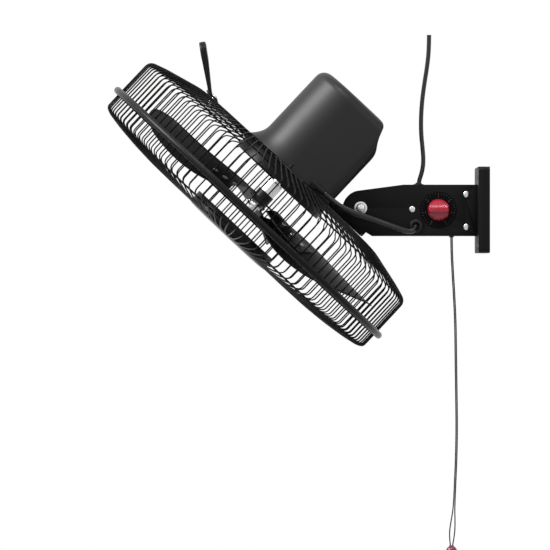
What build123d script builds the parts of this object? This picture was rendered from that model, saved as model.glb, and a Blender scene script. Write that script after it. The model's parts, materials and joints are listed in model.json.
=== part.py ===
"""Wall mounted fan: sheet metal arm on the wall, head tilted towards the floor, pull cord below.

Millimetres. +Z is up, the wall is the plane X = 0 and the fan reaches out along -X.
The head has its own frame: "front" runs along the fan's axis, "up" across it, away from the arm.
"""
from build123d import *
from math import cos, sin, radians, pi
import os

# ---------------------------------------------------------------- driving dimensions: wall and arm
plate_side = 120.0            # wall plate, square
plate_thick = 4.0
plate_corner = 6.0
wall_hole_spacing = 90.0
wall_hole_dia = 7.0
flange_depth = 12.0           # pressed tray in front of the wall plate
flange_sheet = 2.5

arm_width = 54.0
arm_sheet = 2.0
arm_top = 35.4                # above the wall centre
arm_bottom = -36.0
arm_slope_start = 119.0       # distance from the wall where the top edge starts to fall
arm_lower_corner = 161.7      # distance from the wall where the bottom edge ends
hinge_out = 178.8             # tilt bolt, distance from the wall
hinge_height = 2.8
ear_radius = 24.5
arm_web_end = 112.0           # the top web ends here, so that the head can swing

# ---------------------------------------------------------------- driving dimensions: controls
dial_out = 70.4
dial_radius = 25.3
dial_thick = 1.5
knob_radius = 15.25
knob_height = 14.0
knob_grip_width = 7.0
regulator_shaft_radius = 3.0
regulator_depth = 16.0
regulator_side = 30.0
pull_out = 51.1               # where the pull cord leaves the arm, from the wall
pull_strand_dia = 1.7
pull_ball_radius = 8.0
switch_front = 8.0            # from the arm's middle, towards -Y
switch_height = 30.0
switch_depth = 16.0
pull_travel_room = 14.0

mains_dia = 6.2
mains_out = 97.3              # where the mains cord enters the arm's top
mains_grommet_radius = 6.0
lead_grommet_radius = 10.0
guide_radius = 5.0            # bush where the pull cord leaves the arm
grommet_lip = 1.6
lead_dia = 7.5
lead_grommet_out = 101.6
lead_grommet_height = -22.3
side_screw_dia = 5.0
side_screw_head_dia = 9.0
side_screw_head = 2.6

# ---------------------------------------------------------------- driving dimensions: head
tilt_down = 46.8              # the fan's axis, below level
hinge_to_ring_front = 112.2
hinge_to_ring_up = 110.2
bolt_dia = 8.0
bolt_head_radius = 6.5
bolt_head_height = 5.3
washer_radius = 9.0
washer_thick = 1.6
friction_washer_radius = 15.0
friction_washer_thick = 3.0
running_clearance = 0.05
seat_gap = 0.3

cover_radius = 61.6           # motor cover: round top, flat bottom
cover_bottom = -75.0
cover_front = -88.0
cover_rear = -220.0
cover_flare = 11.0
cover_flare_length = 20.0
cover_wall = 2.5
cover_rear_round = 11.0
neck_radius = 12.0
neck_front = -98.0
neck_lowest = -139.0

guard_wire = 2.4
guard_wires = 120
guard_radius = 246.2
guard_split_gap = 0.2
guard_rim = 5.3               # the guards' edges reach this far out, into the clamp ring
clamp_room = 0.9
clamp_width = 11.2
clamp_sheet = 2.6
front_depth = 42.5
front_corner = 27.0
rear_face = -83.2
rear_corner = -58.0
centre_disc_radius = 71.0
centre_rim_depth = 18.5
cap_thick = 3.0
rear_opening_radius = 40.0
rear_centre_radius = 76.0

blade_count = 3
blade_tip_gap = 21.2          # between the blade tips and the guard's side
blade_thick = 1.6
blade_first_angle = 202.7     # around the fan's axis, from "up"
shaft_radius = 6.0
shaft_front = -3.0
shaft_rear = -196.0
spider_plane = -24.0
rivet_radius = 3.0
stator_radius = 50.0
rotor_radius = 30.0
air_gap = 0.5
stack_front = -118.0
stack_length = 46.0
bearing_radius = 14.0
bearing_width = 11.0

handle_bar = 9.0
handle_leg = 6.0
handle_top_up = 204.0
handle_top_front = -124.0

# ---------------------------------------------------------------- frames
rim_radius = guard_radius + guard_rim
clamp_radius = rim_radius + clamp_room + clamp_sheet
blade_radius = guard_radius - blade_tip_gap
half_arm = arm_width / 2
arm_inside = half_arm - arm_sheet
flange_front = plate_thick + flange_depth
front_dir = Vector(-cos(radians(tilt_down)), 0, -sin(radians(tilt_down)))
up_dir = Vector(-sin(radians(tilt_down)), 0, cos(radians(tilt_down)))
hinge_point = Vector(-hinge_out, 0, hinge_height)
head_centre = hinge_point + front_dir * hinge_to_ring_front + up_dir * hinge_to_ring_up
head_axis = Axis(head_centre, front_dir)


def on_head(front, up, side=0.0):
    """A point of the head's frame; side is positive away from the lamp side of the arm."""
    return head_centre + front_dir * front + up_dir * up + Vector(0, side, 0)


def head_face(front):
    """Plane across the fan's axis: local x is -Y, local y is the head's up."""
    return Plane(origin=on_head(front, 0), x_dir=(0, -1, 0), z_dir=front_dir)


def head_side(side=0.0):
    """Plane along the fan's axis: local x is the head's up, local y its front, normal is -Y."""
    return Plane(origin=on_head(0, 0, -side), x_dir=up_dir, z_dir=(0, -1, 0))


def arm_side(distance):
    """Plane parallel to the arm's side, at this distance towards -Y: local x is X, local y is Z."""
    return Plane.XZ.offset(distance)


os.makedirs("parts", exist_ok=True)


def save(piece, name):
    piece.part.label = name
    export_step(piece.part, f"parts/{name}.step")


# ---------------------------------------------------------------- wall plate and flange
with BuildPart() as wall_plate:
    with BuildSketch(Plane.YZ.offset(-plate_thick)):
        RectangleRounded(plate_side, plate_side, plate_corner)
        with GridLocations(wall_hole_spacing, wall_hole_spacing, 2, 2):
            Circle(wall_hole_dia / 2, mode=Mode.SUBTRACT)
    extrude(amount=plate_thick)
save(wall_plate, "wall_plate")

with BuildPart() as arm_flange:
    with BuildSketch(Plane.YZ.offset(-flange_front)):
        RectangleRounded(plate_side, plate_side, plate_corner)
    extrude(amount=flange_depth)
    with BuildSketch(Plane.YZ.offset(-flange_front + flange_sheet)):
        RectangleRounded(plate_side - 2 * flange_sheet, plate_side - 2 * flange_sheet,
                         plate_corner - flange_sheet)
    extrude(amount=flange_depth, mode=Mode.SUBTRACT)
    with BuildSketch(Plane.YZ.offset(-flange_front)):
        with GridLocations(wall_hole_spacing, wall_hole_spacing, 2, 2):
            Circle(wall_hole_dia / 2)
    extrude(amount=flange_sheet, mode=Mode.SUBTRACT)
save(arm_flange, "arm_flange")

# ---------------------------------------------------------------- arm
side_screw_places = [(-107.0, 1.1), (-31.5, 22.0), (-31.5, -23.5)]

with BuildPart() as arm_shell:
    with BuildSketch(arm_side(half_arm)):
        with Locations((-hinge_out, hinge_height)):
            Circle(ear_radius)
        with BuildLine():
            Polyline((-flange_front, arm_top), (-arm_slope_start, arm_top),
                     (-arm_lower_corner, arm_bottom), (-flange_front, arm_bottom), close=True)
        make_hull()
    extrude(amount=-arm_width)
    with BuildSketch(arm_side(arm_inside)):
        with Locations((-flange_front, arm_top - arm_sheet)):
            Rectangle(arm_web_end - flange_front, 200, align=(Align.MAX, Align.MAX))
        with Locations((-arm_web_end, 0)):
            Rectangle(200, 200, align=(Align.MAX, Align.CENTER))
    extrude(amount=-2 * arm_inside, mode=Mode.SUBTRACT)
    with BuildSketch(arm_side(half_arm)):
        with Locations((-hinge_out, hinge_height)):
            Circle(bolt_dia / 2)
    extrude(amount=-arm_width, mode=Mode.SUBTRACT)
    with BuildSketch(arm_side(half_arm)):
        with Locations(*side_screw_places):
            Circle(side_screw_dia / 2)
        with Locations((-dial_out, 0)):
            Circle(regulator_shaft_radius + 1.5)
        with Locations((-lead_grommet_out, lead_grommet_height)):
            Circle(lead_grommet_radius - grommet_lip)
    extrude(amount=-arm_sheet, mode=Mode.SUBTRACT)
    with BuildSketch(Plane.XY.offset(arm_top)):
        with Locations((-mains_out, 0)):
            Circle(mains_grommet_radius - grommet_lip)
    extrude(amount=-arm_sheet, mode=Mode.SUBTRACT)
save(arm_shell, "arm_shell")

cover_front_edge = arm_lower_corner - 6
with BuildPart() as arm_bottom_cover:
    with BuildSketch(Plane.XY.offset(arm_bottom)):
        with Locations((-flange_front, 0)):
            Rectangle(cover_front_edge - flange_front, 2 * arm_inside, align=(Align.MAX, Align.CENTER))
        with Locations((-pull_out, 0)):
            Circle(guide_radius, mode=Mode.SUBTRACT)
    extrude(amount=arm_sheet)
save(arm_bottom_cover, "arm_bottom_cover")

brace_length = 12.0
with BuildPart() as arm_spacers:
    for place_x, place_z in side_screw_places:
        with BuildSketch(arm_side(arm_inside)):
            with Locations((place_x, place_z)):
                RegularPolygon(side_screw_dia, 6)
                Circle(side_screw_dia / 2 - 0.5, mode=Mode.SUBTRACT)
        extrude(amount=-2 * arm_inside)
save(arm_spacers, "arm_spacers")

with BuildPart() as side_screws:
    for place_x, place_z in side_screw_places:
        with BuildSketch(arm_side(half_arm)):
            with Locations((place_x, place_z)):
                Circle(side_screw_head_dia / 2)
        extrude(amount=side_screw_head)
        with BuildSketch(arm_side(half_arm)):
            with Locations((place_x, place_z)):
                Circle(side_screw_dia / 2 - 0.5)
        extrude(amount=-brace_length)
    head_tops = side_screws.faces().filter_by(Axis.Y).group_by(Axis.Y)[0]
    fillet(head_tops.edges(), side_screw_head / 2)
save(side_screws, "side_screws")

# ---------------------------------------------------------------- speed control
with BuildPart() as dial_plate:
    with BuildSketch(arm_side(half_arm)):
        with Locations((-dial_out, 0)):
            Circle(dial_radius)
            Circle(regulator_shaft_radius + 1.5, mode=Mode.SUBTRACT)
    extrude(amount=dial_thick)
    chamfer(dial_plate.faces().sort_by(Axis.Y)[0].edges().sort_by(SortBy.LENGTH)[-1], 0.6)
save(dial_plate, "dial_plate")

regulator_shaft_end = half_arm + dial_thick + knob_height - 4
with BuildPart() as regulator_shaft:
    with BuildSketch(arm_side(arm_inside - 4)):
        with Locations((-dial_out, 0)):
            Circle(regulator_shaft_radius)
    extrude(amount=regulator_shaft_end - (arm_inside - 4))
save(regulator_shaft, "regulator_shaft")

knob_base = half_arm + dial_thick + seat_gap
with BuildPart() as speed_knob:
    with BuildSketch(arm_side(knob_base)):
        with Locations((-dial_out, 0)):
            Circle(knob_radius)
    extrude(amount=knob_height * 0.45, taper=4)
    with BuildSketch(arm_side(knob_base)):
        with Locations((-dial_out, 0)):
            RectangleRounded(2 * knob_radius - 2.4, knob_grip_width, 2)
    extrude(amount=knob_height, taper=3)
    fillet(speed_knob.faces().sort_by(Axis.Y)[0].edges(), 0.8)
    with BuildSketch(arm_side(knob_base)):
        with Locations((-dial_out, 0)):
            Circle(regulator_shaft_radius)
    extrude(amount=regulator_shaft_end - knob_base, mode=Mode.SUBTRACT)
save(speed_knob, "speed_knob")

with BuildPart() as speed_regulator:
    with BuildSketch(arm_side(arm_inside)):
        with Locations((-dial_out, 0)):
            RectangleRounded(regulator_side, regulator_side, 4)
    extrude(amount=-regulator_depth)
    with BuildSketch(arm_side(arm_inside)):
        with Locations((-dial_out, 0)):
            Circle(regulator_shaft_radius + running_clearance)
    extrude(amount=-4.5, mode=Mode.SUBTRACT)
    with BuildSketch(arm_side(arm_inside - regulator_depth)):
        with Locations((-dial_out, 0)):
            with GridLocations(8, 0, 3, 1):
                Rectangle(4, 1.2)
    extrude(amount=-6)
save(speed_regulator, "speed_regulator")

# ---------------------------------------------------------------- pull switch
switch_bottom = arm_bottom + arm_sheet + pull_travel_room
plunger_radius = 2.5
plunger_length = 16.0
plunger_stop = 1.5            # the bore goes this much deeper than the plunger's rest place
eye_radius = 4.2
eye_thick = 2.4
with BuildPart() as pull_switch:
    with BuildSketch(Plane.XY.offset(switch_bottom)):
        with Locations((-pull_out, arm_inside)):
            Rectangle(switch_depth, arm_inside + switch_front, align=(Align.CENTER, Align.MAX))
    extrude(amount=switch_height)
    fillet(pull_switch.edges().filter_by(Axis.Z).group_by(Axis.Y)[0], 3)
    with BuildSketch(Plane.XY.offset(switch_bottom)):
        with Locations((-pull_out, 0)):
            Circle(plunger_radius + running_clearance)
    extrude(amount=plunger_length + plunger_stop, mode=Mode.SUBTRACT)
save(pull_switch, "pull_switch")

eye_bottom = switch_bottom - 1.0 - eye_thick
with BuildPart() as pull_plunger:
    with BuildSketch(Plane.XY.offset(eye_bottom)):
        with Locations((-pull_out, 0)):
            Circle(eye_radius)
    extrude(amount=eye_thick)
    with BuildSketch(Plane.XY.offset(eye_bottom)):
        with Locations((-pull_out, 0)):
            Circle(plunger_radius)
    extrude(amount=eye_thick + 1.0 + plunger_length)
save(pull_plunger, "pull_plunger")

strand_gap = 0.2
with BuildPart() as cord_guide:
    with BuildSketch(Plane.XY.offset(arm_bottom - 2)):
        with Locations((-pull_out, 0)):
            Circle(guide_radius + 2)
    extrude(amount=2)
    with BuildSketch(Plane.XY.offset(arm_bottom)):
        with Locations((-pull_out, 0)):
            Circle(guide_radius)
    extrude(amount=arm_sheet + 1)
    with BuildSketch(Plane.XY.offset(arm_bottom - 2)):
        with Locations((-pull_out, 0)):
            SlotOverall(2 * pull_strand_dia + strand_gap + 2.4, pull_strand_dia + 1.6)
    extrude(amount=arm_sheet + 3, mode=Mode.SUBTRACT)
    fillet(cord_guide.faces().sort_by(Axis.Z)[0].outer_wire().edges(), 0.8)
save(cord_guide, "cord_guide")


# ---------------------------------------------------------------- cords
def cord_radii(name, points):
    """Arc radius at each corner of a cord's route: as large as its two runs allow."""
    radii = []
    for before, corner, after in zip(points, points[1:], points[2:]):
        first, second = corner - before, after - corner
        half_turn = radians(first.get_angle(second)) / 2
        radii.append(0.45 * min(first.length, second.length) * cos(half_turn) / sin(half_turn))
    runs = [(second - first).length for first, second in zip(points, points[1:])]
    print(name, "radii", [round(radius, 1) for radius in radii], "runs", [round(run, 1) for run in runs])
    return radii


def report_tube(name, tube, dia, path):
    length = sum(edge.length for edge in path.edges())
    print(name, "length", round(length, 1), "volume / section x length",
          round(tube.volume / (pi * dia ** 2 / 4 * length), 4))


mains_route = [Vector(x, y, z) for x, y, z in (
    (-mains_out, 0, 27), (-mains_out, 0, 39.5), (-92.4, 0, 53), (-90.2, 0.6, 68), (-91.4, 1.4, 86),
    (-93.6, 1.8, 107), (-93.8, 1.4, 130), (-92.2, 0.6, 154), (-89.0, 0, 178), (-85.1, -0.4, 202),
    (-82.7, -0.2, 225), (-82.5, 0.4, 245.4))]
with BuildPart() as mains_cord:
    with BuildLine() as mains_path:
        FilletPolyline(*mains_route, radius=cord_radii("mains_cord", mains_route))
    with BuildSketch(Plane(origin=mains_route[0], z_dir=mains_route[1] - mains_route[0])):
        Circle(mains_dia / 2)
    sweep()
report_tube("mains_cord", mains_cord.part, mains_dia, mains_path.line)
save(mains_cord, "mains_cord")

mains_grommet_height = 1.5
mains_sleeve = 4.0
with BuildPart() as mains_grommet:
    with BuildSketch(Plane.XY.offset(arm_top)):
        with Locations((-mains_out, 0)):
            Circle(mains_grommet_radius)
    extrude(amount=mains_grommet_height, taper=20)
    with BuildSketch(Plane.XY.offset(arm_top)):
        with Locations((-mains_out, 0)):
            Circle(mains_grommet_radius - grommet_lip)
    extrude(amount=-arm_sheet - mains_sleeve)
    with BuildSketch(Plane.XY.offset(arm_top - arm_sheet - mains_sleeve)):
        with Locations((-mains_out, 0)):
            Circle(mains_dia / 2 + running_clearance)
    extrude(amount=arm_sheet + 2 * mains_sleeve, mode=Mode.SUBTRACT)
save(mains_grommet, "mains_grommet")

strand_side = (pull_strand_dia + strand_gap) / 2
ball_centre_height = -477.5
ball_collar_top = -468.5
ball_collar_radius = 3.4
strand_sink = 1.0
pull_shared = [(-51.1, eye_bottom), (-51.1, -50.0), (-49.9, -78.0), (-47.6, -116.0), (-45.6, -156.0),
               (-45.1, -201.0), (-44.4, -250.0), (-43.7, -302.0), (-44.4, -345.0), (-46.1, -383.0),
               (-47.6, -418.0)]
pull_ends = {
    "pull_cord_left": (-strand_side, [(-51.4, -438.0), (-53.5, -455.0), (-52.6, ball_collar_top - strand_sink)]),
    "pull_cord_right": (strand_side, [(-47.0, -437.0), (-47.6, -454.0), (-49.6, ball_collar_top - strand_sink)]),
}
for strand_name, (strand_offset, strand_end) in pull_ends.items():
    strand_route = [Vector(x + strand_offset, 0, z) for x, z in pull_shared]
    strand_route += [Vector(x, 0, z) for x, z in strand_end]
    with BuildPart() as pull_strand:
        with BuildLine() as strand_path:
            FilletPolyline(*strand_route, radius=cord_radii(strand_name, strand_route))
        with BuildSketch(Plane(origin=strand_route[0], z_dir=strand_route[1] - strand_route[0])):
            Circle(pull_strand_dia / 2)
        sweep()
    report_tube(strand_name, pull_strand.part, pull_strand_dia, strand_path.line)
    save(pull_strand, strand_name)

with BuildPart() as pull_ball:
    with Locations((-pull_out, 0, ball_centre_height)):
        Sphere(pull_ball_radius)
    with BuildSketch(Plane.XY.offset(ball_collar_top)):
        with Locations((-pull_out, 0)):
            Circle(ball_collar_radius)
    extrude(amount=ball_centre_height - ball_collar_top)
save(pull_ball, "pull_ball")

# ---------------------------------------------------------------- motor lead
bush_front = -91.5
bush_up = -42.0
bush_end_up = -58.0
bush_out = 78.0               # from the fan's axis, towards -Y
bush_radius = 5.6
lead_end_out = half_arm + 4.0
lead_route = [
    on_head(bush_front, bush_end_up, -bush_out), on_head(bush_front, bush_end_up - 25, -bush_out),
    Vector(-189.0, -64.0, -4.6), Vector(-161.0, -50.0, -13.2), Vector(-133.0, -42.5, -23.4),
    Vector(-114.5, -40.5, -30.0), Vector(-104.2, -39.0, -29.2),
    Vector(-lead_grommet_out, -lead_end_out + 0.6, lead_grommet_height)]
with BuildPart() as motor_lead:
    with BuildLine() as lead_path:
        FilletPolyline(*lead_route, radius=cord_radii("motor_lead", lead_route))
    with BuildSketch(Plane(origin=lead_route[0], z_dir=lead_route[1] - lead_route[0])):
        Circle(lead_dia / 2)
    sweep()
report_tube("motor_lead", motor_lead.part, lead_dia, lead_path.line)
save(motor_lead, "motor_lead")

with BuildPart() as lead_grommet:
    with BuildSketch(arm_side(half_arm)):
        with Locations((-lead_grommet_out, lead_grommet_height)):
            Circle(lead_grommet_radius)
    extrude(amount=lead_end_out - half_arm, taper=15)
    with BuildSketch(arm_side(half_arm)):
        with Locations((-lead_grommet_out, lead_grommet_height)):
            Circle(lead_grommet_radius - grommet_lip)
    extrude(amount=-arm_sheet - 2)
save(lead_grommet, "lead_grommet")

with BuildPart() as lead_bush:
    with BuildSketch(head_side(cover_radius - 2)):
        with Locations((bush_up, bush_front)):
            Circle(bush_radius)
    extrude(amount=bush_out - cover_radius + 2 + bush_radius - 1)
    with BuildSketch(Plane(origin=on_head(bush_front, bush_up + bush_radius, -bush_out), z_dir=-up_dir)):
        Circle(bush_radius)
    extrude(amount=bush_up + bush_radius - bush_end_up, taper=3)
save(lead_bush, "lead_bush")

block_out = 124.0
block_size = 20.0
with BuildPart() as terminal_block:
    with BuildSketch(Plane.XY.offset(arm_bottom + arm_sheet)):
        with Locations((-block_out, 0)):
            Rectangle(block_size, 30)
    extrude(amount=9)
    with BuildSketch(Plane.XY.offset(arm_bottom + arm_sheet + 9)):
        with Locations((-block_out, 0)):
            Rectangle(block_size - 8, 30)
    extrude(amount=6)
    with BuildSketch(Plane.XY.offset(arm_bottom + arm_sheet + 15)):
        with Locations((-block_out, 0)):
            with GridLocations(0, 9, 1, 3):
                Circle(2)
    extrude(amount=-8, mode=Mode.SUBTRACT)
save(terminal_block, "terminal_block")

# ---------------------------------------------------------------- tilt bolt
bolt_shank_start = half_arm + washer_thick
with BuildPart() as hinge_bolt:
    with BuildSketch(arm_side(bolt_shank_start)):
        with Locations((-hinge_out, hinge_height)):
            Circle(bolt_head_radius)
    extrude(amount=bolt_head_height)
    fillet(hinge_bolt.faces().sort_by(Axis.Y)[0].edges(), 2)
    with BuildSketch(arm_side(bolt_shank_start)):
        with Locations((-hinge_out, hinge_height)):
            Circle(bolt_dia / 2)
    extrude(amount=-(2 * bolt_shank_start + 10))
save(hinge_bolt, "hinge_bolt")

with BuildPart() as hinge_washers:
    for side_start in (bolt_shank_start, -half_arm):
        with BuildSketch(arm_side(side_start)):
            with Locations((-hinge_out, hinge_height)):
                Circle(washer_radius)
                Circle(bolt_dia / 2, mode=Mode.SUBTRACT)
        extrude(amount=-washer_thick)
save(hinge_washers, "hinge_washers")

with BuildPart() as hinge_nut:
    with BuildSketch(arm_side(-bolt_shank_start)):
        with Locations((-hinge_out, hinge_height)):
            RegularPolygon(bolt_head_radius, 6, major_radius=False)
            Circle(bolt_dia / 2, mode=Mode.SUBTRACT)
    extrude(amount=-6.5)
save(hinge_nut, "hinge_nut")

with BuildPart() as friction_washers:
    for side_start in (arm_inside, -arm_inside + friction_washer_thick):
        with BuildSketch(arm_side(side_start)):
            with Locations((-hinge_out, hinge_height)):
                Circle(friction_washer_radius)
                Circle(bolt_dia / 2, mode=Mode.SUBTRACT)
        extrude(amount=-friction_washer_thick)
save(friction_washers, "friction_washers")

# ---------------------------------------------------------------- neck
neck_half_width = arm_inside - friction_washer_thick - seat_gap
neck_flange_thick = 5.0
neck_flange_half = 24.0
neck_flange_front = -89.0
neck_flange_rear = -150.0
neck_screw_dia = 5.0
neck_screw_places = [(-106.0, 18.5), (-106.0, -18.5), (-141.0, 18.5), (-141.0, -18.5)]
neck_eye_radius = 16.0
neck_web_half = 13.0
neck_web_depth = 30.0
neck_cap_length = 4.0


def head_below(up):
    """Plane along the fan's axis, across the neck: local x is the head's front, local y is -Y."""
    return Plane(origin=on_head(0, up), x_dir=front_dir, z_dir=up_dir)


with BuildPart() as neck:
    with BuildSketch(head_below(cover_bottom - neck_flange_thick)) as neck_flange:
        with Locations((neck_flange_rear, 0)):
            Rectangle(neck_flange_front - neck_flange_rear, 2 * neck_flange_half,
                      align=(Align.MIN, Align.CENTER))
        fillet(neck_flange.vertices(), 6)
        with Locations(*neck_screw_places):
            Circle(neck_screw_dia / 2, mode=Mode.SUBTRACT)
    extrude(amount=neck_flange_thick)
    with BuildSketch(head_below(cover_bottom - neck_flange_thick)):
        with Locations((neck_front, 0)):
            Circle(neck_radius)
    extrude(amount=neck_lowest + neck_cap_length - cover_bottom + neck_flange_thick)
    with BuildSketch(head_side(neck_half_width)):
        with Locations((-hinge_to_ring_up, -hinge_to_ring_front)):
            Circle(neck_eye_radius)
    extrude(amount=-2 * neck_half_width)
    with BuildSketch(head_side(neck_web_half)):
        with Locations((-hinge_to_ring_up, -hinge_to_ring_front)):
            Rectangle(hinge_to_ring_up + cover_bottom - 1, neck_web_depth,
                      align=(Align.MIN, Align.CENTER))
    extrude(amount=-2 * neck_web_half)
    with BuildSketch(head_side(neck_half_width)):
        with Locations((-hinge_to_ring_up, -hinge_to_ring_front)):
            Circle(bolt_dia / 2 + running_clearance)
    extrude(amount=-2 * neck_half_width, mode=Mode.SUBTRACT)
save(neck, "neck")

with BuildPart() as neck_cap:
    with BuildSketch(head_below(neck_lowest)):
        with Locations((neck_front, 0)):
            Circle(neck_radius + 1.5)
    extrude(amount=neck_cap_length)
    chamfer(neck_cap.edges().sort_by(Axis(head_centre, up_dir))[0], 1)
save(neck_cap, "neck_cap")

# ---------------------------------------------------------------- motor cover
outline_corner = 16.0


hollow_start_up = -55.0
hollow_middle = (-63.0, -196.0)         # (up, front) on the arc under the cover's rear end
hollow_end_front = -180.0


def rear_hollow(inset):
    """What the hollow arc under the cover's rear end takes away, moved in by the wall's thickness."""
    arc_start = (hollow_start_up + inset, cover_rear - 1)
    arc_end = (cover_bottom + inset - 2, hollow_end_front + 1 + inset / 2)
    below, behind = cover_bottom - 10, cover_rear - 10
    with BuildPart() as hollow:
        with BuildSketch(head_side(cover_radius + 10)):
            with BuildLine():
                ThreePointArc(arc_start, (hollow_middle[0] + inset, hollow_middle[1] + inset / 2), arc_end)
                Polyline(arc_end, (below, arc_end[1]), (below, behind), (arc_start[0], behind), arc_start)
            make_face()
        extrude(amount=-2 * cover_radius - 20)
    return hollow.part


with BuildPart() as cover_void:
    with BuildSketch(head_face(cover_front)) as void_outline:
        Circle(cover_radius - cover_wall)
        Rectangle(2 * (cover_radius - cover_wall), -cover_bottom - cover_wall,
                  align=(Align.CENTER, Align.MAX))
        fillet(void_outline.vertices().group_by(Axis.Y)[0], outline_corner - cover_wall)
    extrude(amount=cover_rear - cover_front + cover_wall)
    fillet(cover_void.faces().sort_by(Axis(head_centre, front_dir))[0].edges(),
           cover_rear_round - cover_wall)
    add(rear_hollow(cover_wall), mode=Mode.SUBTRACT)

with BuildPart() as motor_cover:
    with BuildSketch(head_face(cover_front)) as body_outline:
        Circle(cover_radius)
        Rectangle(2 * cover_radius, -cover_bottom, align=(Align.CENTER, Align.MAX))
        fillet(body_outline.vertices().group_by(Axis.Y)[0], outline_corner)
    extrude(amount=cover_rear - cover_front)
    fillet(motor_cover.faces().sort_by(Axis(head_centre, front_dir))[0].edges(), cover_rear_round)
    add(rear_hollow(0), mode=Mode.SUBTRACT)
    for flare_front, flare_radius in ((cover_front, cover_radius + cover_flare),
                                      (cover_front - cover_flare_length, cover_radius)):
        with BuildSketch(head_face(flare_front)) as flare_outline:
            Circle(flare_radius)
            Rectangle(2 * flare_radius, -cover_bottom, align=(Align.CENTER, Align.MAX))
            fillet(flare_outline.vertices().group_by(Axis.Y)[0], outline_corner)
    loft()
    add(cover_void.part, mode=Mode.SUBTRACT)
    for flare_front, flare_radius in ((cover_front, cover_radius + cover_flare - cover_wall),
                                      (cover_front - cover_flare_length, cover_radius - cover_wall)):
        with BuildSketch(head_face(flare_front)) as flare_void:
            Circle(flare_radius)
            Rectangle(2 * flare_radius, -cover_bottom - cover_wall, align=(Align.CENTER, Align.MAX))
            fillet(flare_void.vertices().group_by(Axis.Y)[0], outline_corner - cover_wall)
    loft(mode=Mode.SUBTRACT)
    with BuildSketch(head_side(cover_radius)):
        with Locations((bush_up, bush_front)):
            Circle(bush_radius)
    extrude(amount=cover_flare + 5, mode=Mode.SUBTRACT)
    with BuildSketch(head_below(cover_bottom)):
        with Locations(*neck_screw_places):
            Circle(neck_screw_dia / 2)
    extrude(amount=cover_wall, mode=Mode.SUBTRACT)
save(motor_cover, "motor_cover")

with BuildPart() as neck_screws:
    with BuildSketch(head_below(cover_bottom - neck_flange_thick)):
        with Locations(*neck_screw_places):
            Circle(neck_screw_dia / 2 - 0.5)
    extrude(amount=neck_flange_thick + cover_wall)
    with BuildSketch(head_below(cover_bottom - neck_flange_thick)):
        with Locations(*neck_screw_places):
            Circle(neck_screw_dia - 0.5)
    extrude(amount=-2.6)
save(neck_screws, "neck_screws")

# ---------------------------------------------------------------- motor
shield_thick = 4.0
motor_bolt_radius = 2.0
motor_bolt_circle = 53.0
front_shield_plane = cover_front - shield_thick
rear_shield_plane = -184.0
guard_seat_radius = 66.0
guard_seat_wall = 8.0
guard_screw_circle = guard_seat_radius - guard_seat_wall / 2
guard_screw_radius = 2.0
bearing_wall = 4.0
shaft_room = 2.0

with BuildPart() as front_shield:
    with BuildSketch(head_face(front_shield_plane)):
        Circle(cover_radius + cover_flare - cover_wall - 2.5)
    extrude(amount=shield_thick)
    with BuildSketch(head_face(cover_front)):
        Circle(guard_seat_radius)
        Circle(guard_seat_radius - guard_seat_wall, mode=Mode.SUBTRACT)
    extrude(amount=rear_face - cover_front)
    with BuildSketch(head_face(front_shield_plane)):
        Circle(bearing_radius + bearing_wall)
    extrude(amount=-bearing_width)
    with BuildSketch(head_face(front_shield_plane)):
        Circle(bearing_radius)
    extrude(amount=-bearing_width, mode=Mode.SUBTRACT)
    with BuildSketch(head_face(front_shield_plane)):
        Circle(shaft_radius + shaft_room)
        with PolarLocations(motor_bolt_circle, 4, start_angle=45):
            Circle(motor_bolt_radius + 0.1)
        with PolarLocations(guard_screw_circle, 4):
            Circle(guard_screw_radius + 0.1)
    extrude(amount=rear_face - front_shield_plane, mode=Mode.SUBTRACT)
save(front_shield, "front_shield")

with BuildPart() as rear_shield:
    with BuildSketch(head_face(rear_shield_plane)):
        Circle(motor_bolt_circle + 4)
    extrude(amount=shield_thick)
    with BuildSketch(head_face(rear_shield_plane)):
        with Locations((0, -motor_bolt_circle)):
            Rectangle(2 * motor_bolt_circle, motor_bolt_circle - 44, align=(Align.CENTER, Align.MAX))
    extrude(amount=shield_thick, mode=Mode.SUBTRACT)
    with BuildSketch(head_face(rear_shield_plane + shield_thick)):
        Circle(bearing_radius + bearing_wall)
    extrude(amount=bearing_width)
    with BuildSketch(head_face(rear_shield_plane + shield_thick)):
        Circle(bearing_radius)
    extrude(amount=bearing_width, mode=Mode.SUBTRACT)
    with BuildSketch(head_face(rear_shield_plane)):
        Circle(shaft_radius + shaft_room)
        with PolarLocations(motor_bolt_circle, 4, start_angle=45):
            Circle(motor_bolt_radius + 0.1)
    extrude(amount=shield_thick, mode=Mode.SUBTRACT)
save(rear_shield, "rear_shield")

for bearing_name, bearing_start in (("front_bearing", front_shield_plane - bearing_width),
                                    ("rear_bearing", rear_shield_plane + shield_thick)):
    with BuildPart() as bearing:
        with BuildSketch(head_face(bearing_start)):
            Circle(bearing_radius)
            Circle(shaft_radius + running_clearance, mode=Mode.SUBTRACT)
        extrude(amount=bearing_width)
    save(bearing, bearing_name)

with BuildPart() as stator_core:
    with BuildSketch(head_face(stack_front - stack_length)):
        Circle(stator_radius)
        with PolarLocations(motor_bolt_circle, 4, start_angle=45):
            Circle(5)
            Circle(motor_bolt_radius + 0.1, mode=Mode.SUBTRACT)
        Circle(rotor_radius + air_gap, mode=Mode.SUBTRACT)
    extrude(amount=stack_length)
save(stator_core, "stator_core")

winding_length = 10.0
with BuildPart() as windings:
    for winding_start in (stack_front, stack_front - stack_length - winding_length):
        with BuildSketch(head_face(winding_start)):
            Circle(stator_radius - 4)
            Circle(rotor_radius + 3, mode=Mode.SUBTRACT)
        extrude(amount=winding_length)
save(windings, "windings")

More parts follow.
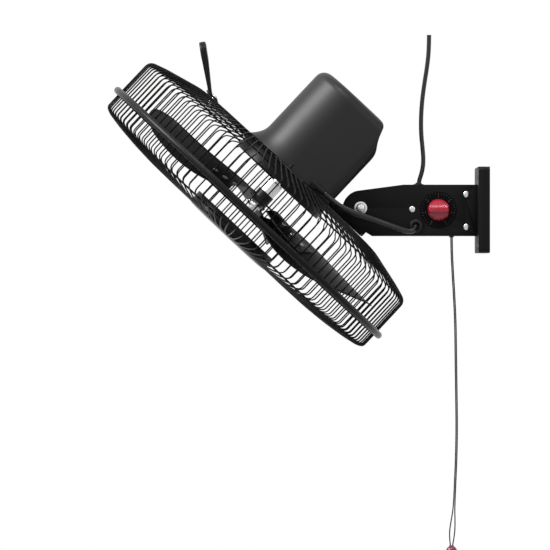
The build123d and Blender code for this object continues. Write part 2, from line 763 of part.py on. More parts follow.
with BuildPart() as motor_bolts:
    for bolt_start, bolt_reach, bolt_section in (
            (rear_shield_plane - 3, cover_front - rear_shield_plane + 3, motor_bolt_radius),
            (rear_shield_plane - 3, 3, motor_bolt_radius + 1.5)):
        with BuildSketch(head_face(bolt_start)):
            with PolarLocations(motor_bolt_circle, 4, start_angle=45):
                Circle(bolt_section)
        extrude(amount=bolt_reach)
save(motor_bolts, "motor_bolts")

capacitor_radius = 11.0
capacitor_length = 42.0
capacitor_rear = -166.0
with BuildPart() as run_capacitor:
    with BuildSketch(head_face(capacitor_rear)):
        with Locations((18, cover_bottom + cover_wall + capacitor_radius)):
            Circle(capacitor_radius)
    extrude(amount=capacitor_length)
save(run_capacitor, "run_capacitor")

# ---------------------------------------------------------------- guards
wire_pitch = 360 / guard_wires
inner_wall = guard_radius - guard_wire
# corners of the guards' side view, as (radius, front)
front_knee = (guard_radius - 33.2, front_depth - 7)
front_edge = (guard_radius - 100.2, front_depth)
rear_shoulder = (guard_radius - 21.2, rear_face + 16.2)
rear_edge = (guard_radius - 80.2, rear_face)
slot_clear = 6.5              # the wires start this far from the split plane


def wire_slot(inner, outer):
    """One gap between two radial wires, as corners: the wires keep their width."""
    def half_gap(radius):
        return radius * sin(radians(wire_pitch / 2)) / cos(radians(wire_pitch / 2)) - guard_wire / 2
    return [(inner, -half_gap(inner)), (outer, -half_gap(outer)),
            (outer, half_gap(outer)), (inner, half_gap(inner))]


with BuildPart() as front_guard:
    with BuildSketch(head_side()):
        with BuildLine():
            Polyline((0, front_depth - guard_wire),
                     (centre_disc_radius - guard_wire, front_depth - guard_wire),
                     (centre_disc_radius - guard_wire, front_depth - centre_rim_depth),
                     (centre_disc_radius, front_depth - centre_rim_depth),
                     (centre_disc_radius, front_depth - guard_wire),
                     (front_edge[0], front_edge[1] - guard_wire),
                     (front_knee[0], front_knee[1] - guard_wire),
                     (inner_wall, front_corner - guard_wire),
                     (inner_wall, guard_split_gap),
                     (rim_radius, guard_split_gap),
                     (rim_radius, guard_split_gap + guard_wire),
                     (guard_radius, guard_split_gap + guard_wire),
                     (guard_radius, front_corner),
                     front_knee, front_edge, (0, front_depth), close=True)
        make_face()
    revolve(axis=head_axis)
    with BuildSketch(head_face(slot_clear)):
        with PolarLocations(0, guard_wires):
            Polygon(*wire_slot(centre_disc_radius + 1, guard_radius + 3), align=None)
    extrude(amount=front_depth, mode=Mode.SUBTRACT)
save(front_guard, "front_guard")

with BuildPart() as rear_guard:
    with BuildSketch(head_side()):
        with BuildLine():
            Polyline((rear_opening_radius, rear_face), rear_edge, rear_shoulder,
                     (guard_radius - 1.6, rear_corner),
                     (guard_radius, -guard_split_gap - guard_wire),
                     (rim_radius, -guard_split_gap - guard_wire),
                     (rim_radius, -guard_split_gap),
                     (inner_wall, -guard_split_gap),
                     (inner_wall - 1.6, rear_corner + guard_wire - 0.9),
                     (rear_shoulder[0] - 1, rear_shoulder[1] + guard_wire),
                     (rear_edge[0], rear_edge[1] + guard_wire),
                     (rear_opening_radius, rear_face + guard_wire), close=True)
        make_face()
    revolve(axis=head_axis)
    with BuildSketch(head_face(-slot_clear)):
        with PolarLocations(0, guard_wires):
            Polygon(*wire_slot(rear_centre_radius, guard_radius + 3), align=None)
    extrude(amount=rear_face, mode=Mode.SUBTRACT)
    with BuildSketch(head_face(rear_face)):
        with PolarLocations(guard_screw_circle, 4):
            Circle(guard_screw_radius + 0.1)
    extrude(amount=guard_wire, mode=Mode.SUBTRACT)
save(rear_guard, "rear_guard")

cone_slope = (rear_shoulder[1] - rear_edge[1]) / (rear_shoulder[0] - 1 - rear_edge[0])
rear_ring_radii = (rear_edge[0] - 48, rear_edge[0] - 6)
cone_ring_radius = rear_edge[0] + 32
cone_ring_front = rear_edge[1] + guard_wire + (cone_ring_radius - rear_edge[0]) * cone_slope
with BuildPart() as rear_rings:
    with BuildSketch(head_side()):
        for ring_radius in rear_ring_radii:
            with Locations((ring_radius, rear_face + guard_wire)):
                Rectangle(guard_wire, guard_wire, align=(Align.MIN, Align.MIN))
        with BuildLine():
            Polyline((cone_ring_radius, cone_ring_front),
                     (cone_ring_radius + guard_wire, cone_ring_front + guard_wire * cone_slope),
                     (cone_ring_radius + guard_wire, cone_ring_front + guard_wire * (cone_slope + 1)),
                     (cone_ring_radius, cone_ring_front + guard_wire), close=True)
        make_face()
    revolve(axis=head_axis)
save(rear_rings, "rear_rings")

with BuildPart() as front_ring:
    with BuildSketch(head_side()):
        with Locations((front_edge[0] - 4, front_depth - guard_wire)):
            Rectangle(guard_wire, guard_wire, align=(Align.MAX, Align.MAX))
    revolve(axis=head_axis)
save(front_ring, "front_ring")

clamp_lip = guard_radius + 1.2
with BuildPart() as clamp_ring:
    with BuildSketch(head_side()):
        with BuildLine():
            Polyline((clamp_lip, -clamp_width / 2), (clamp_radius, -clamp_width / 2),
                     (clamp_radius, clamp_width / 2), (clamp_lip, clamp_width / 2),
                     (clamp_lip, guard_split_gap + guard_wire),
                     (clamp_radius - clamp_sheet, guard_split_gap + guard_wire),
                     (clamp_radius - clamp_sheet, -guard_split_gap - guard_wire),
                     (clamp_lip, -guard_split_gap - guard_wire), close=True)
        make_face()
    revolve(axis=head_axis)
save(clamp_ring, "clamp_ring")

with BuildPart() as guard_cap:
    with BuildSketch(head_face(front_depth)):
        Circle(centre_disc_radius)
    extrude(amount=cap_thick)
    chamfer(guard_cap.faces().sort_by(head_axis)[-1].edges(), 2)
save(guard_cap, "guard_cap")

with BuildPart() as guard_screws:
    with BuildSketch(head_face(front_shield_plane)):
        with PolarLocations(guard_screw_circle, 4):
            Circle(guard_screw_radius)
    extrude(amount=rear_face + guard_wire - front_shield_plane)
    with BuildSketch(head_face(rear_face + guard_wire)):
        with PolarLocations(guard_screw_circle, 4):
            Circle(2 * guard_screw_radius)
    extrude(amount=2.6)
save(guard_screws, "guard_screws")

# ---------------------------------------------------------------- handle
handle_angle = 5 * wire_pitch       # between two wires, either side of the head's up
handle_foot_radius = rear_edge[0] - 13
foot_up = handle_foot_radius * cos(radians(handle_angle))
foot_side = handle_foot_radius * sin(radians(handle_angle))
foot_thick = 2.4
foot_length = 20.0
foot_width = 12.0
handle_screw_radius = 2.0
handle_screw_circle = handle_foot_radius - 4
clamp_thick = 2.0
leg_offset = 4.0
grip_end_gap = 15.0
foot_angles = (90 - handle_angle, 90 + handle_angle)

with BuildPart() as handle:
    with BuildSketch(head_face(rear_face)):
        for foot_angle in foot_angles:
            with PolarLocations(handle_foot_radius, 1, start_angle=foot_angle):
                RectangleRounded(foot_length, foot_width, 4)
            with PolarLocations(handle_screw_circle, 1, start_angle=foot_angle):
                Circle(handle_screw_radius, mode=Mode.SUBTRACT)
    extrude(amount=-foot_thick)
    with BuildLine() as handle_path:
        FilletPolyline(on_head(rear_face - foot_thick + 1, foot_up + leg_offset, -foot_side),
                       on_head(handle_top_front, handle_top_up, -foot_side),
                       on_head(handle_top_front, handle_top_up, foot_side),
                       on_head(rear_face - foot_thick + 1, foot_up + leg_offset, foot_side), radius=14)
    with BuildSketch(Plane(origin=handle_path.line @ 0, z_dir=handle_path.line % 0)):
        Circle(handle_leg / 2)
    sweep(path=handle_path.line)
    with BuildSketch(head_face(rear_face)):
        Circle(2 * handle_foot_radius)
    extrude(amount=guard_wire, mode=Mode.SUBTRACT)
save(handle, "handle")

with BuildPart() as handle_grip:
    with BuildSketch(Plane(origin=on_head(handle_top_front, handle_top_up, -foot_side + grip_end_gap),
                           z_dir=(0, 1, 0))):
        Circle(handle_bar / 2)
        Circle(handle_leg / 2, mode=Mode.SUBTRACT)
    extrude(amount=2 * (foot_side - grip_end_gap))
save(handle_grip, "handle_grip")

with BuildPart() as handle_clamps:
    with BuildSketch(head_face(rear_face + guard_wire)):
        for foot_angle in foot_angles:
            with PolarLocations(handle_screw_circle, 1, start_angle=foot_angle):
                RectangleRounded(foot_width, foot_width, 2)
                Circle(handle_screw_radius, mode=Mode.SUBTRACT)
    extrude(amount=clamp_thick)
save(handle_clamps, "handle_clamps")

handle_screw_reach = foot_thick + guard_wire + clamp_thick + 5
with BuildPart() as handle_screws:
    for screw_section, screw_reach in ((handle_screw_radius, handle_screw_reach),
                                       (2 * handle_screw_radius, -2.4)):
        with BuildSketch(head_face(rear_face - foot_thick)):
            for foot_angle in foot_angles:
                with PolarLocations(handle_screw_circle, 1, start_angle=foot_angle):
                    Circle(screw_section)
        extrude(amount=screw_reach)
save(handle_screws, "handle_screws")

# ---------------------------------------------------------------- rotor
with BuildPart() as motor_shaft:
    with BuildSketch(head_face(shaft_rear)):
        Circle(shaft_radius)
    extrude(amount=shaft_front - shaft_rear)
save(motor_shaft, "motor_shaft")

with BuildPart() as rotor_core:
    with BuildSketch(head_face(stack_front - stack_length)):
        Circle(rotor_radius)
        Circle(shaft_radius, mode=Mode.SUBTRACT)
    extrude(amount=stack_length)
save(rotor_core, "rotor_core")

# blade sections: share of the radius, half chord, rise from rear edge to front edge, middle of the chord
blade_sections = [(0.17, 36.0, 24.0, -15.0), (0.42, 58.0, 40.0, -8.0), (0.69, 70.0, 34.0, -8.0),
                  (1.04, 64.0, 14.0, -16.0)]
blade_stations = [share * blade_radius for share in (0.17, 0.29, 0.42, 0.55, 0.69, 0.86, 1.04)]
blade_camber = 7.0
spider_thick = 2.0
spider_gap = 0.3
spider_arm_half = 17.0
spider_hub_radius = 34.0
hub_boss_radius = 13.0
hub_boss_length = 14.0
rivet_distances = (52.0, 72.0, 92.0)
rivet_head_gap = 0.6
rivet_head = 1.4
rivet_hole_room = 0.15


def section_at(radius):
    """Half chord, rise and middle of the blade at this radius, on smooth curves through the sections."""
    values = [0.0, 0.0, 0.0]
    for own in blade_sections:
        weight = 1.0
        for other in blade_sections:
            if other is not own:
                weight *= (radius / blade_radius - other[0]) / (own[0] - other[0])
        values = [value + weight * size for value, size in zip(values, own[1:])]
    return values


def section_height(radius, across):
    """Front position of the blade's rear face at this radius and distance across the chord."""
    half_chord, rise, middle = section_at(radius)
    share = across / half_chord
    return middle + rise / 2 * share - blade_camber * (1 - share ** 2)


def blade_plane(radius, angle):
    """Plane square to the blade's length: local x runs to its front edge, local y is front."""
    radial = up_dir.rotate(Axis((0, 0, 0), tuple(front_dir)), angle)
    return Plane(origin=head_centre + radial * radius, x_dir=front_dir.cross(radial), z_dir=radial)


def section_corners(radius, half_width, lift):
    return [(across, section_height(radius, across) + lift) for across in (-half_width, 0, half_width)]


def rivet_plane(radius, angle):
    """Plane on the blade's rear face at the middle of its chord, along the sheet."""
    half_chord, rise, _ = section_at(radius)
    base = blade_plane(radius, angle)
    lean = Vector(-rise / 2 / half_chord, 1, 0).normalized()
    place = base.from_local_coords(Vector(0, section_height(radius, 0), 0))
    normal = base.x_dir * lean.X + base.y_dir * lean.Y
    return Plane(origin=place, x_dir=base.z_dir, z_dir=normal)


blade_angles = [blade_first_angle + 360 / blade_count * number for number in range(blade_count)]
for number, blade_angle in enumerate(blade_angles, start=1):
    with BuildPart() as blade:
        for section_radius in blade_stations:
            half_chord = section_at(section_radius)[0]
            rear_side = section_corners(section_radius, half_chord, 0)
            front_side = section_corners(section_radius, half_chord, blade_thick)
            with BuildSketch(blade_plane(section_radius, blade_angle)):
                with BuildLine():
                    ThreePointArc(*rear_side)
                    Line(rear_side[2], front_side[2])
                    ThreePointArc(*reversed(front_side))
                    Line(front_side[0], rear_side[0])
                make_face()
        loft()
        with BuildSketch(head_face(-60)):
            Circle(blade_radius)
            Circle(spider_hub_radius + 8, mode=Mode.SUBTRACT)
        extrude(amount=100, mode=Mode.INTERSECT)
        for rivet_distance in rivet_distances:
            with BuildSketch(rivet_plane(rivet_distance, blade_angle).offset(-2)):
                Circle(rivet_radius - 1 + rivet_hole_room)
            extrude(amount=6, mode=Mode.SUBTRACT)
    save(blade, f"blade_{number}")

arm_radii = (26.0, 52.0, 80.0, 106.0)
with BuildPart() as blade_spider:
    for blade_angle in blade_angles:
        for arm_radius in arm_radii:
            low_side = section_corners(arm_radius, spider_arm_half, -spider_gap - spider_thick)
            high_side = section_corners(arm_radius, spider_arm_half, -spider_gap)
            with BuildSketch(blade_plane(arm_radius, blade_angle)):
                with BuildLine():
                    ThreePointArc(*low_side)
                    Line(low_side[2], high_side[2])
                    ThreePointArc(*reversed(high_side))
                    Line(high_side[0], low_side[0])
                make_face()
        loft()
        for rivet_distance in rivet_distances:
            with BuildSketch(rivet_plane(rivet_distance, blade_angle).offset(-5)):
                Circle(rivet_radius - 1 + rivet_hole_room)
            extrude(amount=6, mode=Mode.SUBTRACT)
    with BuildSketch(head_face(spider_plane - spider_thick)):
        Circle(spider_hub_radius)
    extrude(amount=spider_thick)
    with BuildSketch(head_face(spider_plane - hub_boss_length)):
        Circle(hub_boss_radius)
    extrude(amount=hub_boss_length + 4)
    with BuildSketch(head_face(spider_plane - hub_boss_length)):
        Circle(shaft_radius)
    extrude(amount=hub_boss_length + 20, mode=Mode.SUBTRACT)
save(blade_spider, "blade_spider")

with BuildPart() as rivets:
    for blade_angle in blade_angles:
        for rivet_distance in rivet_distances:
            with BuildSketch(rivet_plane(rivet_distance, blade_angle).offset(-spider_gap - spider_thick - 1)):
                Circle(rivet_radius - 1.0)
            extrude(amount=spider_gap + spider_thick + blade_thick + 1.8)
            with BuildSketch(rivet_plane(rivet_distance, blade_angle).offset(blade_thick + rivet_head_gap)):
                Circle(rivet_radius + 1)
            extrude(amount=rivet_head)
            rear_offset = -spider_gap - spider_thick - rivet_head_gap - 0.1
            with BuildSketch(rivet_plane(rivet_distance, blade_angle).offset(rear_offset)):
                Circle(rivet_radius + 1)
            extrude(amount=-rivet_head)
save(rivets, "rivets")

with BuildPart() as hub_nut:
    with BuildSketch(head_face(spider_plane + 4)):
        RegularPolygon(9, 6, major_radius=False)
        Circle(shaft_radius, mode=Mode.SUBTRACT)
    extrude(amount=8)
save(hub_nut, "hub_nut")
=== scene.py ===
"""Looks of the wall mounted fan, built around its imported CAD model.

Lengths are millimetres in the row frame (+Z up, wall at X = 0); the functions that make an object turn
them into metres. The head has its own frame: front along the fan's axis, up across it, side towards +Y.
"""
import bpy
import bmesh
import json
from contextlib import contextmanager
from math import sin, cos, pi, radians
from mathutils import Matrix, Vector


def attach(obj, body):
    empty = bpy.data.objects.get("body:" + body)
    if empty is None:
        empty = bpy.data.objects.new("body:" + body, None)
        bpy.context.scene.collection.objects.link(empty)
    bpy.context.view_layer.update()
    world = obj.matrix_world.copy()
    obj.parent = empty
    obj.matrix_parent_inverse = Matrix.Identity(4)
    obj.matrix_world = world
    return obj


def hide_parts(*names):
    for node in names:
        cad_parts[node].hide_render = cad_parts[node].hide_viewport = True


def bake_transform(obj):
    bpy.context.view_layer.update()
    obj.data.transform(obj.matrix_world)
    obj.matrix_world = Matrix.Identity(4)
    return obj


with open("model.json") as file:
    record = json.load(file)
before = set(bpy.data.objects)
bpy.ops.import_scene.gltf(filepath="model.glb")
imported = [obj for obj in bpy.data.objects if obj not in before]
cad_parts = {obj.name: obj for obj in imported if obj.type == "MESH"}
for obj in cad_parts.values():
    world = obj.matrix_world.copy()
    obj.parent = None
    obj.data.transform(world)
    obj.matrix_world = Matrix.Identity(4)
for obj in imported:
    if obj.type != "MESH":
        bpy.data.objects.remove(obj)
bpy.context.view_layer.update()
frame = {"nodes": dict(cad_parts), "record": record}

MM = 0.001
record = frame["record"]
joints = {joint["name"]: joint for joint in record["behaviour"]["joints"]}


# ---------------- frames
head_centre = Vector(joints["blade_spin"]["pos_m"]) / MM
front_dir = Vector(joints["blade_spin"]["axis"]).normalized()
up_dir = Vector((front_dir.z, 0.0, -front_dir.x))
side_dir = Vector((0.0, 1.0, 0.0))
hinge_point = Vector(joints["tilt"]["pos_m"]) / MM
dial_centre = Vector(joints["knob_turn"]["pos_m"]) / MM
arm_face = 27.0               # the arm's side, from the middle plane
washer_face = 28.6            # where the tilt bolt's head sits
knob_face = 28.8

head_matrix = Matrix((
    (side_dir.x, up_dir.x, front_dir.x, head_centre.x),
    (side_dir.y, up_dir.y, front_dir.y, head_centre.y),
    (side_dir.z, up_dir.z, front_dir.z, head_centre.z),
    (0.0, 0.0, 0.0, 1.0)))                   # local (side, up, front)


def on_head(front, up, side=0.0):
    return head_centre + front_dir * front + up_dir * up + side_dir * side


def ring_point(radius, front, degrees):
    """A point round the fan's axis; degrees run from up towards +Y."""
    return on_head(front, radius * cos(radians(degrees)), radius * sin(radians(degrees)))


def side_matrix(x, z, out):
    """Local x is X, local y is Z, local z points to the dial's side (-Y), from y = -out."""
    return Matrix(((1, 0, 0, x), (0, 0, -1, -out), (0, 1, 0, z), (0, 0, 0, 1)))


def under_matrix(x, y, z):
    """Local z points down from the place (x, y, z)."""
    return Matrix(((1, 0, 0, x), (0, -1, 0, y), (0, 0, -1, z), (0, 0, 0, 1)))


# ---------------- mesh helpers
weld_distance = 0.001         # points of one piece that lie closer than this are one
cad_weld_distance = 0.002     # the same in a copy of a CAD node's mesh
cad_flat_angle = 1.0          # degrees; faces of a CAD mesh that turn by less become one


@contextmanager
def edited(data):
    """The mesh, open for editing; it is written back at the end."""
    work = bmesh.new()
    work.from_mesh(data)
    yield work
    work.to_mesh(data)
    work.free()


def linked(name, data):
    """New object in the scene."""
    piece = bpy.data.objects.new(name, data)
    bpy.context.collection.objects.link(piece)
    return piece


def evaluated_mesh(holder):
    """New mesh of what an object shows with its modifiers, or of its curve's solid."""
    graph = bpy.context.evaluated_depsgraph_get()
    graph.update()
    return bpy.data.meshes.new_from_object(holder.evaluated_get(graph))


def drop(holder):
    """Removes an object with its mesh or curve."""
    data = holder.data
    store = bpy.data.meshes if holder.type == "MESH" else bpy.data.curves
    bpy.data.objects.remove(holder)
    store.remove(data)


def shade_smooth(data):
    data.polygons.foreach_set("use_smooth", [True] * len(data.polygons))


def mesh(name, points, faces, material):
    """New smooth-shaded object whose faces all look outwards."""
    data = bpy.data.meshes.new(name)
    data.from_pydata([tuple(Vector(point) * MM) for point in points], [], faces)
    data.validate()
    with edited(data) as work:
        bmesh.ops.recalc_face_normals(work, faces=work.faces)
    shade_smooth(data)
    piece = linked(name, data)
    data.materials.append(material)
    return piece


def apply_modifiers(piece):
    """Makes what the modifiers show the piece's own mesh."""
    old = piece.data
    piece.data = evaluated_mesh(piece)
    piece.modifiers.clear()
    bpy.data.meshes.remove(old)
    return piece


def bevel(piece, width, segments, angle):
    """Rounds the edges where faces turn by more than the angle."""
    modifier = piece.modifiers.new("bevel", "BEVEL")
    modifier.width = width * MM
    modifier.segments = segments
    modifier.limit_method = "ANGLE"
    modifier.angle_limit = radians(angle)
    return apply_modifiers(piece)


def sharpen(piece, angle=38):
    """Smooth shading with creases kept where faces turn by more than this."""
    with edited(piece.data) as work:
        for edge in work.edges:
            turned = len(edge.link_faces) == 2 and edge.calc_face_angle(0.0) > radians(angle)
            edge.smooth = not turned
    return piece


def join(name, pieces):
    """One object from several, each with its own material."""
    first = pieces[0]
    with bpy.context.temp_override(active_object=first, object=first, selected_objects=pieces,
                                   selected_editable_objects=pieces):
        bpy.ops.object.join()
    first.name = name
    first.data.name = name
    return first


def strip(low, high, count):
    """Faces between two rings of points, which start at these indices."""
    return [(low + step, low + (step + 1) % count, high + (step + 1) % count, high + step)
            for step in range(count)]


on_axis = 1e-4                # a smaller radius is a point of the axis itself


def lathe(name, profile, matrix, material, segments=64, crease=38):
    """Turned piece about the matrix's z. The profile is (radius, height) from end to end, or a loop."""
    points, faces, rings = [], [], []
    for radius, height in profile:
        if radius < on_axis:
            rings.append([len(points)])
            points.append(matrix @ Vector((0, 0, height)))
            continue
        rings.append(list(range(len(points), len(points) + segments)))
        for step in range(segments):
            turn = 2 * pi * step / segments
            points.append(matrix @ Vector((radius * cos(turn), radius * sin(turn), height)))
    for low, high in zip(rings, rings[1:]):
        if len(low) > 1 and len(high) > 1:
            faces += strip(low[0], high[0], segments)
        elif len(low) > 1:
            faces += [(low[step], low[(step + 1) % segments], high[0]) for step in range(segments)]
        elif len(high) > 1:
            faces += [(low[0], high[step], high[(step + 1) % segments]) for step in range(segments)]
    if profile[0] == profile[-1]:
        return sharpen(weld(mesh(name, points, faces, material)), crease)
    for ring, flip in ((rings[0], True), (rings[-1], False)):
        if len(ring) > 1:
            faces.append(tuple(reversed(ring)) if flip else tuple(ring))
    return sharpen(mesh(name, points, faces, material), crease)


def weld(piece):
    """Makes points that lie together one, so that the piece's mesh is closed."""
    with edited(piece.data) as work:
        bmesh.ops.remove_doubles(work, verts=work.verts, dist=weld_distance * MM)
        bmesh.ops.recalc_face_normals(work, faces=work.faces)
    return piece


def arc(centre_x, centre_y, radius, start, end, steps):
    """Points on an arc, angles in degrees."""
    return [(centre_x + radius * cos(radians(start + (end - start) * step / steps)),
             centre_y + radius * sin(radians(start + (end - start) * step / steps)))
            for step in range(steps + 1)]


def rounded(width, height, corner, steps):
    """Rounded rectangle about the origin."""
    half_x, half_y = width / 2 - corner, height / 2 - corner
    corners = ((half_x, half_y, 0), (-half_x, half_y, 90), (-half_x, -half_y, 180), (half_x, -half_y, 270))
    return [point for x, y, start in corners for point in arc(x, y, corner, start, start + 90, steps)]


def curve_piece(name, curve, matrix, material, lift=0.0):
    """The solid of a flat curve as a mesh, raised by lift and laid on the matrix's plane."""
    holder = linked(name, curve)
    data = evaluated_mesh(holder)
    drop(holder)
    for vertex in data.vertices:
        vertex.co = matrix @ (vertex.co + Vector((0, 0, lift))) * MM
    data.materials.clear()
    data.materials.append(material)
    return linked(name, data)


def plate(name, outline, thickness, matrix, material, edge):
    """Flat sheet with rounded edges; the matrix's z is its outward face, at local z = thickness."""
    curve = bpy.data.curves.new(name, "CURVE")
    curve.dimensions = "2D"
    curve.fill_mode = "BOTH"
    spline = curve.splines.new("POLY")
    spline.points.add(len(outline) - 1)
    for point, (x, y) in zip(spline.points, outline):
        point.co = (x, y, 0, 1)
    spline.use_cyclic_u = True
    curve.extrude = thickness / 2 - edge
    curve.bevel_depth = edge
    curve.bevel_resolution = 2
    curve.offset = -edge
    piece = weld(curve_piece(name, curve, matrix, material, thickness / 2))
    shade_smooth(piece.data)
    return sharpen(piece)


def loft(name, rings, material, crease=38):
    """Closed skin through rings of equally many points, with both ends shut."""
    count = len(rings[0])
    points = [point for ring in rings for point in ring]
    faces = []
    for row in range(len(rings) - 1):
        faces += strip(row * count, (row + 1) * count, count)
    faces.append(tuple(reversed(range(count))))
    faces.append(tuple(range(len(points) - count, len(points))))
    return sharpen(mesh(name, points, faces, material), crease)


def tube_rings(path, radius, sides):
    """Rings of a tube along a path, carried along without twist."""
    path = [Vector(point) for point in path]
    directions = []
    for index in range(len(path)):
        before, after = path[max(index - 1, 0)], path[min(index + 1, len(path) - 1)]
        directions.append((after - before).normalized())
    helper = Vector((0, 0, 1)) if abs(directions[0].z) < 0.9 else Vector((1, 0, 0))
    normal = directions[0].cross(helper).normalized()
    turns = [2 * pi * side / sides for side in range(sides)]
    rings = []
    for point, direction in zip(path, directions):
        normal = (normal - direction * normal.dot(direction)).normalized()
        other = direction.cross(normal)
        rings.append([point + normal * (radius * cos(turn)) + other * (radius * sin(turn))
                      for turn in turns])
    return rings


def tubes(name, paths, radius, material, sides=8, closed=False):
    """Round wires as one mesh; closed ones join their last point to their first."""
    points, faces = [], []
    for path in paths:
        if closed:
            path = list(path) + [path[0], path[1]]
        rings = tube_rings(path, radius, sides)
        if closed:
            rings = rings[1:-1]
        start = len(points)
        count = len(rings)
        points += [point for ring in rings for point in ring]
        for row in range(count if closed else count - 1):
            faces += strip(start + row * sides, start + (row + 1) % count * sides, sides)
        if not closed:
            faces.append(tuple(start + side for side in reversed(range(sides))))
            faces.append(tuple(start + (count - 1) * sides + side for side in range(sides)))
    return mesh(name, points, faces, material)


def ring_path(radius, front):
    """Points of a ring round the fan's axis, two degrees apart."""
    return [ring_point(radius, front, 2.0 * step) for step in range(180)]


corner_share = 0.45           # a corner's arc takes at most this much of either side


def soften(path, radius, steps):
    """Plane path (a, b) with its corners rounded by arcs of about this radius."""
    result = [Vector(path[0])]
    for before, corner, after in zip(path, path[1:], path[2:]):
        before, corner, after = Vector(before), Vector(corner), Vector(after)
        reach = min(radius, *((end - corner).length * corner_share for end in (before, after)))
        start = corner + (before - corner).normalized() * reach
        end = corner + (after - corner).normalized() * reach
        for step in range(steps + 1):
            share = step / steps
            result.append(start * (1 - share) ** 2 + corner * 2 * share * (1 - share) + end * share ** 2)
    result.append(Vector(path[-1]))
    return result


def refined(name, node, width, material):
    """A CAD node's shape as a new piece, with its sharp edges rounded off."""
    source = frame["nodes"][node]
    data = source.data.copy()
    data.transform(source.matrix_world)
    piece = linked(name, data)
    with edited(data) as work:
        bmesh.ops.remove_doubles(work, verts=work.verts, dist=cad_weld_distance * MM)
        bmesh.ops.dissolve_limit(work, angle_limit=radians(cad_flat_angle),
                                 verts=work.verts, edges=work.edges)
    shade_smooth(data)
    data.materials.clear()
    data.materials.append(material)
    return sharpen(bevel(piece, width, 2, 32), 40)


def boolean(piece, cutter, operation="DIFFERENCE"):
    """Cuts the cutter out of the piece, or keeps what they share, and drops the cutter."""
    modifier = piece.modifiers.new("cut", "BOOLEAN")
    modifier.operation = operation
    modifier.object = cutter
    modifier.solver = "EXACT"
    apply_modifiers(piece)
    drop(cutter)
    return piece


def prism(name, outline, low, high, matrix, material, taper=1.0):
    """Block over an outline, between two heights of the matrix; its high end is scaled by taper."""
    rings = [[matrix @ Vector((x * scale, y * scale, height)) for x, y in outline]
             for height, scale in ((low, 1.0), (high, taper))]
    return loft(name, rings, material)


def nurbs_curve(name, points, diameter, material):
    """Smooth curve with these control points; a diameter of 0 leaves the bare line."""
    curve = bpy.data.curves.new(name, "CURVE")
    curve.dimensions = "3D"
    curve.resolution_u = 12
    curve.bevel_depth = diameter / 2 * MM
    curve.bevel_resolution = 5
    curve.use_fill_caps = True
    spline = curve.splines.new("NURBS")
    spline.points.add(len(points) - 1)
    for point, spot in zip(spline.points, points):
        point.co = (*(Vector(spot) * MM), 1)
    spline.order_u = 3
    spline.use_endpoint_u = True
    if material is not None:
        curve.materials.append(material)
    return linked(name, curve)


def nurbs_points(name, points):
    """Points along the smooth curve."""
    holder = nurbs_curve(name, points, 0, None)
    data = evaluated_mesh(holder)
    drop(holder)
    found = [vertex.co / MM for vertex in data.vertices]
    bpy.data.meshes.remove(data)
    return found


def domed_head(radius, height, rim=0.35, steps=8):
    """Profile of a rounded screw head from its seat up to the middle; rim is its straight part's share."""
    turns = [radians(90 * step / steps) for step in range(1, steps + 1)]
    dome = [(max(0.0, radius * cos(turn)), height * rim + height * (1 - rim) * sin(turn)) for turn in turns]
    return [(0, 0), (radius, 0), (radius, height * rim), *dome]


def crossed_screw(name, matrix, radius, height, material):
    """Rounded head with a crossed recess."""
    head = lathe(name, domed_head(radius, height), matrix, material, 40)
    arm, reach = 0.13 * radius, 0.52 * radius
    outline = [(arm, arm), (arm, reach), (-arm, reach), (-arm, arm), (-reach, arm), (-reach, -arm),
               (-arm, -arm), (-arm, -reach), (arm, -reach), (arm, -arm), (reach, -arm), (reach, arm)]
    turned = matrix @ Matrix.Rotation(radians(17), 4, "Z")
    recess = prism("recess", outline, height + 0.6, height * 0.42, turned, material, 0.7)
    return sharpen(boolean(head, recess))


# ---------------- materials
def fill(node, values):
    """Sets the sockets of a shader node by name."""
    for socket, value in values.items():
        node.inputs[socket].default_value = value
    return node


slow_noise = {"Scale": 14, "Detail": 5, "Roughness": 0.62}    # changes of tone and gloss over a piece
bump_strength = 0.35


def surface(name, colour, roughness, metallic=0.0, specular=0.5, coat=0.0, coat_roughness=0.1,
            grain=900.0, grain_depth=0.02, tone=0.12, wear=0.08):
    """Finish with a fine grain in its surface, grain_depth deep, and slow changes of tone and gloss."""
    material = bpy.data.materials.new(name)
    material.use_nodes = True
    nodes, links = material.node_tree.nodes, material.node_tree.links
    shader = fill(nodes["Principled BSDF"], {
        "Metallic": metallic, "Specular IOR Level": specular,
        "Coat Weight": coat, "Coat Roughness": coat_roughness})
    where = nodes.new("ShaderNodeTexCoord")
    fine = fill(nodes.new("ShaderNodeTexNoise"), {"Scale": grain, "Detail": 3})
    slow = fill(nodes.new("ShaderNodeTexNoise"), slow_noise)
    shade = nodes.new("ShaderNodeMix")
    shade.data_type = "RGBA"
    fill(shade, {"A": (*(value * (1 - tone) for value in colour), 1),
                 "B": (*(min(1, value * (1 + tone)) for value in colour), 1)})
    gloss = fill(nodes.new("ShaderNodeMapRange"), {
        "From Min": 0.3, "From Max": 0.7,
        "To Min": max(0.02, roughness - wear), "To Max": min(1.0, roughness + wear)})
    bump = fill(nodes.new("ShaderNodeBump"), {"Strength": bump_strength, "Distance": grain_depth * MM})
    for source, output, target, socket in (
            (where, "Object", fine, "Vector"), (where, "Object", slow, "Vector"),
            (slow, "Fac", shade, "Factor"), (shade, "Result", shader, "Base Color"),
            (slow, "Fac", gloss, "Value"), (gloss, "Result", shader, "Roughness"),
            (fine, "Fac", bump, "Height"), (bump, "Normal", shader, "Normal")):
        links.new(source.outputs[output], target.inputs[socket])
    return material


